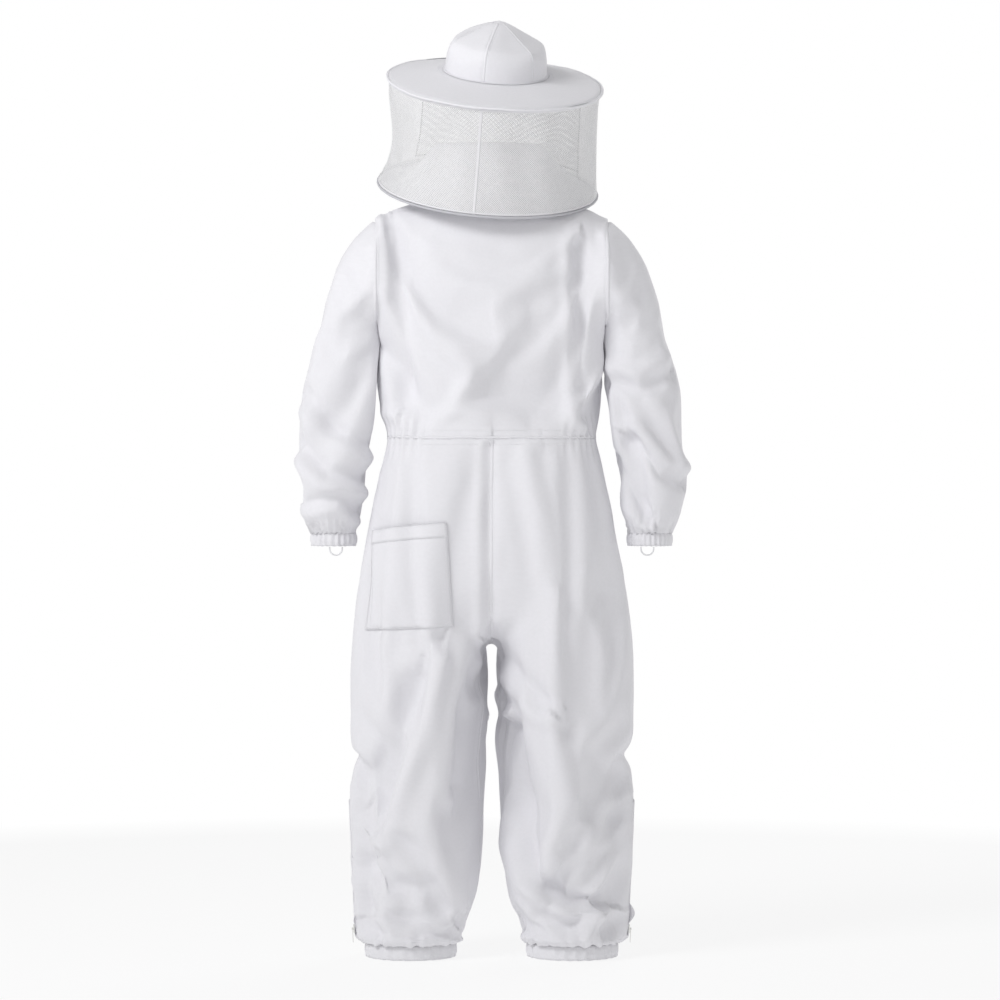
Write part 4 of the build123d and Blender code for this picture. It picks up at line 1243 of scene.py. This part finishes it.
def inset_edge(top, outs, inset, width, height):
    """The sides and foot of a grid, moved in from its edge."""
    rows, cols = top.shape[:2]
    i, k = inset / width * (cols - 1), inset / height * (rows - 1)

    def at(grid, row, col):
        r, c = int(min(row, rows - 2)), int(min(col, cols - 2))
        fr, fc = row - r, col - c
        return ((grid[r, c] * (1 - fc) + grid[r, c + 1] * fc) * (1 - fr)
                + (grid[r + 1, c] * (1 - fc) + grid[r + 1, c + 1] * fc) * fr)

    path = [(r, i) for r in np.linspace(0, rows - 1 - k, rows)]
    path += [(rows - 1 - k, c) for c in np.linspace(i, cols - 1 - i, cols)][1:]
    path += [(r, cols - 1 - i) for r in np.linspace(rows - 1 - k, 0, rows)][1:]
    return tuple(np.array([at(g, r, c) for r, c in path]) for g in (top, outs))


def make_pockets(suit):
    def seat(angle, z):
        """From outside towards the left leg's axis, at an angle in degrees from +X."""
        way = np.array([math.cos(math.radians(angle)), math.sin(math.radians(angle)), 0])
        centre = np.array([0.125, SEAM_Y, z])
        found = suit.hit(centre + way * 0.4, -way)
        return found[0], unit(found[1] + way)

    def breast(x, z):
        found = suit.hit((x, -0.5, z), (0, 1, 0))
        return found[0], np.array([0, -1.0, 0])

    patch(suit, "back_pocket", (((24, -0.662), (107, -0.645)), ((20, -0.852), (115, -0.842))), seat, 0.0060,
          ["back_pocket"])
    lo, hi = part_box("chest_pocket")
    patch(suit, "chest_pocket", (((lo.x, hi.z), (hi.x, hi.z)), ((lo.x, lo.z), (hi.x, lo.z))), breast, 0.0055,
          ["chest_pocket"])
    lo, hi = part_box("hip_pockets")
    inner = 0.062
    for s, name, nodes in ((1, "left", ["hip_pockets"]), (-1, "right", [])):
        a, b = (inner, hi.x) if s > 0 else (-hi.x, -inner)
        patch(suit, f"hip_pocket_{name}", (((a, hi.z), (b, hi.z)), ((a, lo.z), (b, lo.z))), breast, 0.0080, nodes)
    lo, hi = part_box("chest_pocket_flap")
    rows, cols = 16, 40
    t, s = np.meshgrid(np.linspace(0, 1, rows), np.linspace(0, 1, cols), indexing="ij")
    point = 0.008 * (1 - np.abs(2 * s - 1)) * t
    z = hi.z - 0.0006 - (hi.z - lo.z - 0.009) * t - point
    y = front_y(z) - 0.0022 - 0.0098 * np.clip(t * 3.2, 0, 1) ** 0.7 - 0.0008 * np.sin(np.pi * s) * t
    flap_points = np.stack([lo.x + (hi.x - lo.x) * s, y, z], 2)
    flap = sheet_grid("chest_flap_cloth", flap_points, np.linspace(0, hi.x - lo.x, cols),
                      np.linspace(0, -0.04, rows), False, cotton, 0.0016, 0.0)
    declare(flap, "chest_flap_body", ["chest_pocket_flap"])
    outs = np.tile([0, -1.0, 0.0], (rows, cols, 1))
    inner = inset_edge(flap_points + outs * 0.0009, outs, 0.003, hi.x - lo.x, 0.04)
    sew("chest_flap_body", [resampled(*inner, 0.004)])


# ---------------------------------------------------------------- hat
def crown_outline(s):
    """Radius and height of the crown's outside, from its foot at s = 0 to its peak at 1."""
    rows = np.array([(0, CROWN_FOOT_R, 0), (0.15, CROWN_FOOT_R, 0.022), (0.31, CROWN_FOOT_R - 0.001, 0.044),
                     (0.40, CROWN_FOOT_R - 0.006, 0.0565), (0.47, 0.083, 0.0625), (0.70, 0.050, 0.0795),
                     (0.87, 0.022, 0.0930), (1.0, 0.0006, CROWN_H - 0.002)])
    return np.interp(s, rows[:, 0], rows[:, 1]), np.interp(s, rows[:, 0], rows[:, 2])


def make_hat():
    place = veil_frame(CROWN_TURN)
    foot_z = VEIL_H + BRIM_DROP + 0.0034
    n, rows = 240, 60
    t = ring_angles(n)
    seam = np.radians(90 + 60 * np.arange(6))
    levels = np.linspace(0, 1, rows)
    radius, height = crown_outline(levels)
    kernel = np.array([1, 2, 2, 2, 1]) / 8
    for a in (radius, height):
        a[2:-2] = np.convolve(a, kernel, "valid")
    from_seam = np.abs((np.degrees(t) - 90 + 30) % 60 - 30) / 30  # 0 on a seam, 1 midway
    facet = (math.cos(math.radians(30)) / np.cos(np.radians(30) * (1 - from_seam)))
    points = np.zeros((rows, n, 3))
    sag = 0.0045 * np.cos(t) + 0.0016 * np.cos(3 * t + 0.7) + 0.0010 * np.sin(7 * t + 2)
    for k, s in enumerate(levels):
        soft = math.sin(math.pi * min(s / 0.9, 1)) ** 1.2
        flat = 0.25 + 0.65 * np.clip((s - 0.20) / 0.25, 0, 1)
        swell = (1 - flat) + flat * (facet / facet.max()) * 1.0
        welt = 0.0012 * np.exp(-((from_seam * 30 * math.pi / 180 * max(radius[k], 0.01)) / 0.0035) ** 2)
        r = radius[k] * (1 - (1 - swell) * soft * 0.9) - welt * (s < 0.93)
        h = foot_z + height[k] + sag * soft * (0.4 + s)
        points[k] = np.stack([r * np.cos(t), r * np.sin(t), h], 1)
    points[-1, :, 2] = foot_z + height[-1]
    world = moved(place, points)
    crown = sheet_grid("crown_cloth", world, np.linspace(0, 2 * np.pi * 0.09, n + 1), levels * 0.16, True,
                       cotton, 0.0012)
    declare(crown, "veil", ["crown_panels"])
    lines = []
    for a in seam:
        i = int(round((a % (2 * np.pi)) / (2 * np.pi) * n)) % n
        line = world[:-4, i]
        normal = unit(np.cross(world[:-4, (i + 1) % n] - world[:-4, i - 1], np.gradient(line, axis=0)))
        lines.append(resampled(line, normal, 0.003))
    declare(ribbon("crown_seams", lines, 0.0050, 0.0006, cotton), "veil", [])
    for offset in (-0.0045, 0.0045):
        sew("veil", lines, offset, lift=0.0001)
    axis_up = np.array(place.to_3x3() @ Vector((0, 0, 1)))

    slope = BRIM_DROP / (BRIM_R - CROWN_R)
    n = 200
    t = ring_angles(n)
    wave = 0.0016 * np.sin(2 * t + 0.4) + 0.0012 * np.sin(3 * t + 2) + 0.0005 * np.sin(11 * t)

    def brim_row(r, lift):
        share = (r - CROWN_R) / (BRIM_R - CROWN_R)
        z = VEIL_H + (BRIM_R - r) * slope + lift + wave * share + 0 * t
        return np.stack([r * np.cos(t), r * np.sin(t), z], 1)

    radii = np.linspace(CROWN_FOOT_R - 0.0008, BRIM_R - 0.0012, 16)
    quilt = [0.0008 if 0 < i < 15 else 0 for i in range(16)]
    for i in (1, 14):
        quilt[i] = 0.0002
    upper = [brim_row(r, 0.0024 + q) for r, q in zip(radii, quilt)]
    lower = [brim_row(r, -0.0004 - q * 0.6) for r, q in zip(radii[::-1], quilt[::-1])]
    loop = np.array(upper + lower)
    world = moved(place, loop)
    m = len(loop)
    faces, uvs = [], []
    run = np.concatenate([radii, radii[-1] + (radii[-1] - radii[::-1])])
    u = np.linspace(0, 2 * np.pi * 0.16, n + 1)
    for k in range(m):
        up = (k + 1) % m
        for i in range(n):
            j = (i + 1) % n
            faces.append((k * n + i, up * n + i, up * n + j, k * n + j))
            v0, v1 = run[k], run[up] if up else run[k] + 0.003
            uvs += [(u[i], v0), (u[i], v1), (u[i + 1], v1), (u[i + 1], v0)]
    brim = new_object("brim_cover", world.reshape(-1, 3), faces, uvs, cotton)
    bm = bmesh.new()
    bm.from_mesh(brim.data)
    bmesh.ops.recalc_face_normals(bm, faces=bm.faces)
    bm.to_mesh(brim.data)
    bm.free()
    declare(brim, "veil", ["brim_cloth", "brim_stiffener"])
    normals = np.tile(axis_up, (n + 1, 1))
    for k in (1, 2, 14):
        row = world[k][np.arange(n + 1) % n]
        sew("veil", [resampled(row, normals, 0.003)], 0.0, lift=0.0003)
    make_hoop("brim_binding_cloth", place, BRIM_R, VEIL_H + 0.001, 0.0026, cotton, ["brim_binding"], wave)
    base = [(moved(place, brim_row(CROWN_FOOT_R + 0.001, 0.0034))[np.arange(n + 1) % n], normals)]
    declare(ribbon("crown_foot_seam", base, 0.0050, 0.0008, cotton), "veil", [])

    band_r = 0.0948
    band = gathered_band("sweatband_cloth", (0, 0), VEIL_H + BRIM_DROP + 0.024, 0.028, band_r, 0.0022, 0.0004, 91,
                         cotton_soft)
    band.data.transform(place)
    declare(band, "veil", ["sweatband"])
    t = np.linspace(math.radians(28), math.radians(152), 60)
    levels = np.linspace(-0.004, 0.004, 4)
    strap = np.array([np.stack([0.0921 * np.cos(t), 0.0921 * np.sin(t), VEIL_H - 0.030 + h + 0 * t], 1) for h in levels])
    strap = sheet_grid("rear_head_strap_knit", moved(place, strap), t * 0.0921, levels, False, elastic_knit, 0.0014, 0.0)
    declare(strap, "veil", ["rear_head_strap"])
    for a in (30.5, 149.5):
        t = np.radians(np.linspace(a - 2.2, a + 2.2, 5))
        levels = np.linspace(VEIL_H - 0.028, VEIL_H + BRIM_DROP + 0.008, 14)
        riser = np.array([np.stack([0.0922 * np.cos(t), 0.0922 * np.sin(t), h + 0 * t], 1) for h in levels])
        riser = sheet_grid(f"head_strap_end_{int(a)}", moved(place, riser), t * 0.0922, levels, False, elastic_knit,
                           0.0014, 0.0)
        declare(riser, "veil", [])


def make_hoop(name, place, radius, height, thick, material, replaced, wave=None):
    """Cloth-bound hoop with a slightly uneven skin."""
    n, m = 240, 10
    t, a = ring_angles(n), ring_angles(m)
    bob = np.zeros(n) if wave is None else np.interp(np.arange(n) / n, np.arange(len(wave) + 1) / len(wave),
                                                     np.append(wave, wave[0]))
    rows = []
    for b in a:
        r = thick * (1 + 0.07 * np.sin(t * 37 + b * 2) + 0.04 * np.sin(t * 71))
        ring = radius + r * np.cos(b)
        rows.append(np.stack([ring * np.cos(t), ring * np.sin(t), height + bob + r * np.sin(b)], 1))
    faces, uvs = [], []
    for k in range(m):
        for i in range(n):
            j, up = (i + 1) % n, (k + 1) % m
            faces.append((k * n + i, k * n + j, up * n + j, up * n + i))
            uvs += [(x * 2 * np.pi * radius / n, y * 2 * np.pi * thick / m)
                    for x, y in ((i, k), (i + 1, k), (i + 1, k + 1), (i, k + 1))]
    ob = new_object(name, moved(place, np.array(rows)).reshape(-1, 3), faces, uvs, material)
    return declare(ob, "veil", replaced)


# ---------------------------------------------------------------- veil
def veil_wall(angle, share):
    """Radius and height of the netting in the veil's frame; share runs from the hoop to the brim."""
    swell = np.sin(np.pi * share)
    a = np.radians(angle + VEIL_TURN)
    low = np.clip(np.sin(np.pi * share ** 0.72), 0, 1) ** 1.7
    pinch = (0.021 * low - 0.003 * swell) * np.clip(np.cos(a - 0.15), 0, 1) ** 2
    folds = 0.0022 * np.sin(9 * a + 1.1) + 0.0016 * np.sin(15 * a + 3 * share)
    r = 0.2112 + (0.2022 - 0.2112) * share - pinch - 0.004 * swell + folds * swell ** 0.7
    return r, 0.003 + (VEIL_H - 0.0045) * share


def wall_points(angles, shares, out=0.0):
    a, s = np.meshgrid(angles, shares)
    r, z = veil_wall(a, s)
    rad = np.radians(a)
    return np.stack([(r + out) * np.cos(rad), (r + out) * np.sin(rad), z], 2)


def make_veil():
    place = veil_frame(VEIL_TURN)
    shares = np.linspace(0, 1, 40)
    spans = {"left": (-90 + WINDOW_HALF, 90, net_white), "right": (90, 270 - WINDOW_HALF, net_white),
             "window": (-90 - WINDOW_HALF, -90 + WINDOW_HALF, net_window)}
    for name, (start, stop, mat) in spans.items():
        angles = np.linspace(start, stop, 110)
        points = moved(place, wall_points(angles, shares))
        node = "veil_window" if name == "window" else f"veil_mesh_{name}"
        width = math.radians(stop - start) * 0.21
        ob = sheet_grid(f"{node}_net", points, np.radians(angles) * 0.21, shares * VEIL_H, False, mat, 0.0004, 0.0)
        declare(ob, "veil", [node])
    edges = []
    for a in (-90 - WINDOW_HALF, -90 + WINDOW_HALF):
        edges.append(wall_line(place, np.full(60, float(a)), np.linspace(0.04, 1, 60)))
    edges.append(wall_line(place, np.linspace(-90 - WINDOW_HALF, -90 + WINDOW_HALF, 80), np.full(80, 0.06)))
    declare(ribbon("window_piping_cloth", edges, 0.0026, 0.0014, piping_dark), "veil",
            ["window_piping"])
    back = [wall_line(place, np.full(60, 90.0), np.linspace(0.0, 1, 60))]
    declare(ribbon("back_seam_tape_cloth", back, 0.0060, 0.0008, cotton_tape), "veil",
            ["back_seam_tape"])
    for offset in (-0.0018, 0.0018):
        sew("veil", back, offset, lift=0.0008)
    for share, width in ((0.010, 0.004), (0.988, 0.005)):
        hem = [wall_line(place, np.linspace(-90, 270, 300), np.full(300, share))]
        which = "foot" if share < 0.5 else "top"
        declare(ribbon(f"veil_{which}_tape", hem, width, 0.0007, cotton_tape), "veil", [])
        sew("veil", hem, width * 0.30, lift=0.0007)
    make_hoop("hoop_binding_cloth", place, HOOP_R, 0.0, 0.0023, hoop_grey, ["hoop_binding"])
    make_skirt(place)


def wall_line(place, angles, shares):
    r, z = veil_wall(angles, shares)
    rad = np.radians(angles)
    points = moved(place, np.stack([r * np.cos(rad), r * np.sin(rad), z], 1))
    out = np.stack([np.cos(rad), np.sin(rad), 0 * rad], 1) @ np.array(place.to_3x3()).T
    return resampled(points, out, 0.004)


def make_skirt(place):
    """Cloth skirt from the lower hoop up to the neck zip, hanging in soft folds."""
    n, rows = 260, 44
    t = ring_angles(n)
    neck = np.stack([NECK_ZIP_R * np.cos(t), NECK_ZIP_R * np.sin(t), np.full(n, SKIRT_TOP - 0.0006)], 1)
    rim_turn = t - math.radians(VEIL_TURN)
    rim = moved(place, np.stack([(HOOP_R - 0.004) * np.cos(rim_turn), (HOOP_R - 0.004) * np.sin(rim_turn), 0 * t], 1))
    droop = 0.010 + 0.020 * np.clip(np.cos(t - 0.5), 0, 1) ** 2
    folds = 0.0045 * np.sin(11 * t + 0.5) + 0.0035 * np.sin(7 * t + 2) + 0.002 * np.sin(23 * t)
    points = np.zeros((rows, n, 3))
    for k, s in enumerate(np.linspace(0, 1, rows)):
        reach = s
        p = neck * (1 - reach) + rim * reach
        crown_of = 0.016 * math.exp(-(((s - 0.16) / 0.16) ** 2))
        p[:, 2] += crown_of * (s > 0) - droop * math.sin(math.pi * min(s, 1)) ** 1.2 * s * 1.1
        swell = math.sin(math.pi * s)
        p[:, 2] += folds * swell
        points[k] = p
    points[0] = neck
    ob = sheet_grid("veil_skirt_cloth", points, t_closed(n) * 0.15, np.linspace(0, 0.16, rows), True, cotton, 0.0010, 0.0)
    declare(ob, "veil", ["veil_skirt"])
    out = unit(np.stack([np.cos(t), np.sin(t), 0 * t], 1))
    close = np.arange(n + 1) % n
    up = np.tile([0.0, 0.0, 1.0], (n + 1, 1))
    sew("veil", [resampled(points[3][close], unit(up + 0 * out[close]), 0.003)], 0.0, lift=0.0008)


def t_closed(n):
    return np.linspace(0, 2 * np.pi, n + 1)


# ---------------------------------------------------------------- CAD pieces that stay
def dress_cad():
    """Better materials on the CAD nodes that keep their own shape."""
    looks = [("slider", brass), ("pull", brass), ("hoop_wire", steel), ("brim_wire", steel),
             ("hanger_loop", cotton_tape), ("thumb_loop", elastic_knit)]
    for name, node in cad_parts.items():
        if node.hide_render:
            continue
        for key, mat in looks:
            if key in name:
                node.data.materials.clear()
                node.data.materials.append(mat)
                if not node.data.uv_layers and mat in (cotton_tape, elastic_knit):
                    node.data.uv_layers.new(name="cloth")


# ---------------------------------------------------------------- setting
def make_setting():
    floor = new_object("floor", [(-30, -30, FLOOR_Z), (30, -30, FLOOR_Z), (30, 30, FLOOR_Z), (-30, 30, FLOOR_Z)],
                       [(0, 1, 2, 3)])
    mat, nodes, links, bsdf = shader("pale_floor", (0.93, 0.93, 0.935), 0.7)
    place = nodes.new("ShaderNodeTexCoord").outputs["Object"]
    fine = noise_node(nodes, links, place, 40.0, 3.0)
    two_tone(nodes, links, fine, (0.925, 0.925, 0.93), (0.935, 0.935, 0.94), bsdf)
    away = nodes.new("ShaderNodeVectorMath")
    away.operation = "LENGTH"
    links.new(place, away.inputs[0])
    glow = math_node(nodes, links, "DIVIDE", math_node(nodes, links, "SUBTRACT", away.outputs["Value"], 1.2), 2.0)
    clamp = nodes.new("ShaderNodeClamp")
    clamp.inputs["Min"].default_value = 0.80
    links.new(glow, clamp.inputs[0])
    bright = nodes.new("ShaderNodeEmission")
    mix = nodes.new("ShaderNodeMixShader")
    links.new(clamp.outputs[0], mix.inputs[0])
    links.new(bsdf.outputs[0], mix.inputs[1])
    links.new(bright.outputs[0], mix.inputs[2])
    links.new(mix.outputs[0], nodes["Material Output"].inputs["Surface"])
    floor.data.materials.append(mat)

    world = bpy.data.worlds.new("studio")
    scene.world = world
    world.use_nodes = True
    background = world.node_tree.nodes["Background"]
    sky = world.node_tree
    split = sky.nodes.new("ShaderNodeSeparateXYZ")
    sky.links.new(sky.nodes.new("ShaderNodeTexCoord").outputs["Generated"], split.inputs[0])
    height = math_node(sky.nodes, sky.links, "ABSOLUTE", split.outputs["Z"])
    band = sky.nodes.new("ShaderNodeMapRange")  # a white wall all round, dimmer above it
    sky.links.new(height, band.inputs["Value"])
    for key, value in (("From Min", 0.20), ("From Max", 0.36), ("To Min", 1.0), ("To Max", SKY_ABOVE)):
        band.inputs[key].default_value = value
    background.inputs["Color"].default_value = (1.0, 1.0, 1.0, 1)
    sky.links.new(band.outputs[0], background.inputs["Strength"])

    aim = Vector((0, 0, -0.55))
    for name, at, size, power in (("key", (2.4, 2.3, 2.1), 1.4, 84.0), ("front_fill", (-1.6, -3.0, 1.4), 2.4, 34.0)):
        light = bpy.data.lights.new(name, "AREA")
        light.energy, light.size = power, size
        ob = bpy.data.objects.new(name, light)
        ob.location = at
        ob.rotation_euler = (aim - ob.location).to_track_quat("-Z", "Y").to_euler()
        scene.collection.objects.link(ob)

    lens = bpy.data.cameras.new("camera")
    lens.angle = 2 * math.atan(0.96 / 8.0)
    camera = bpy.data.objects.new("camera", lens)
    target = Vector((-0.016, 0.0, -0.605))
    camera.location = (-0.016, 8.0, -0.45)
    camera.rotation_euler = (target - camera.location).to_track_quat("-Z", "Y").to_euler()
    scene.collection.objects.link(camera)
    scene.camera = camera
    scene.view_settings.view_transform = "Standard"


suit = make_suit()
make_seams(suit)
make_bands()
make_collar()
make_zips()
make_pockets(suit)
make_hat()
make_veil()
make_threads()
dress_cad()
make_setting()
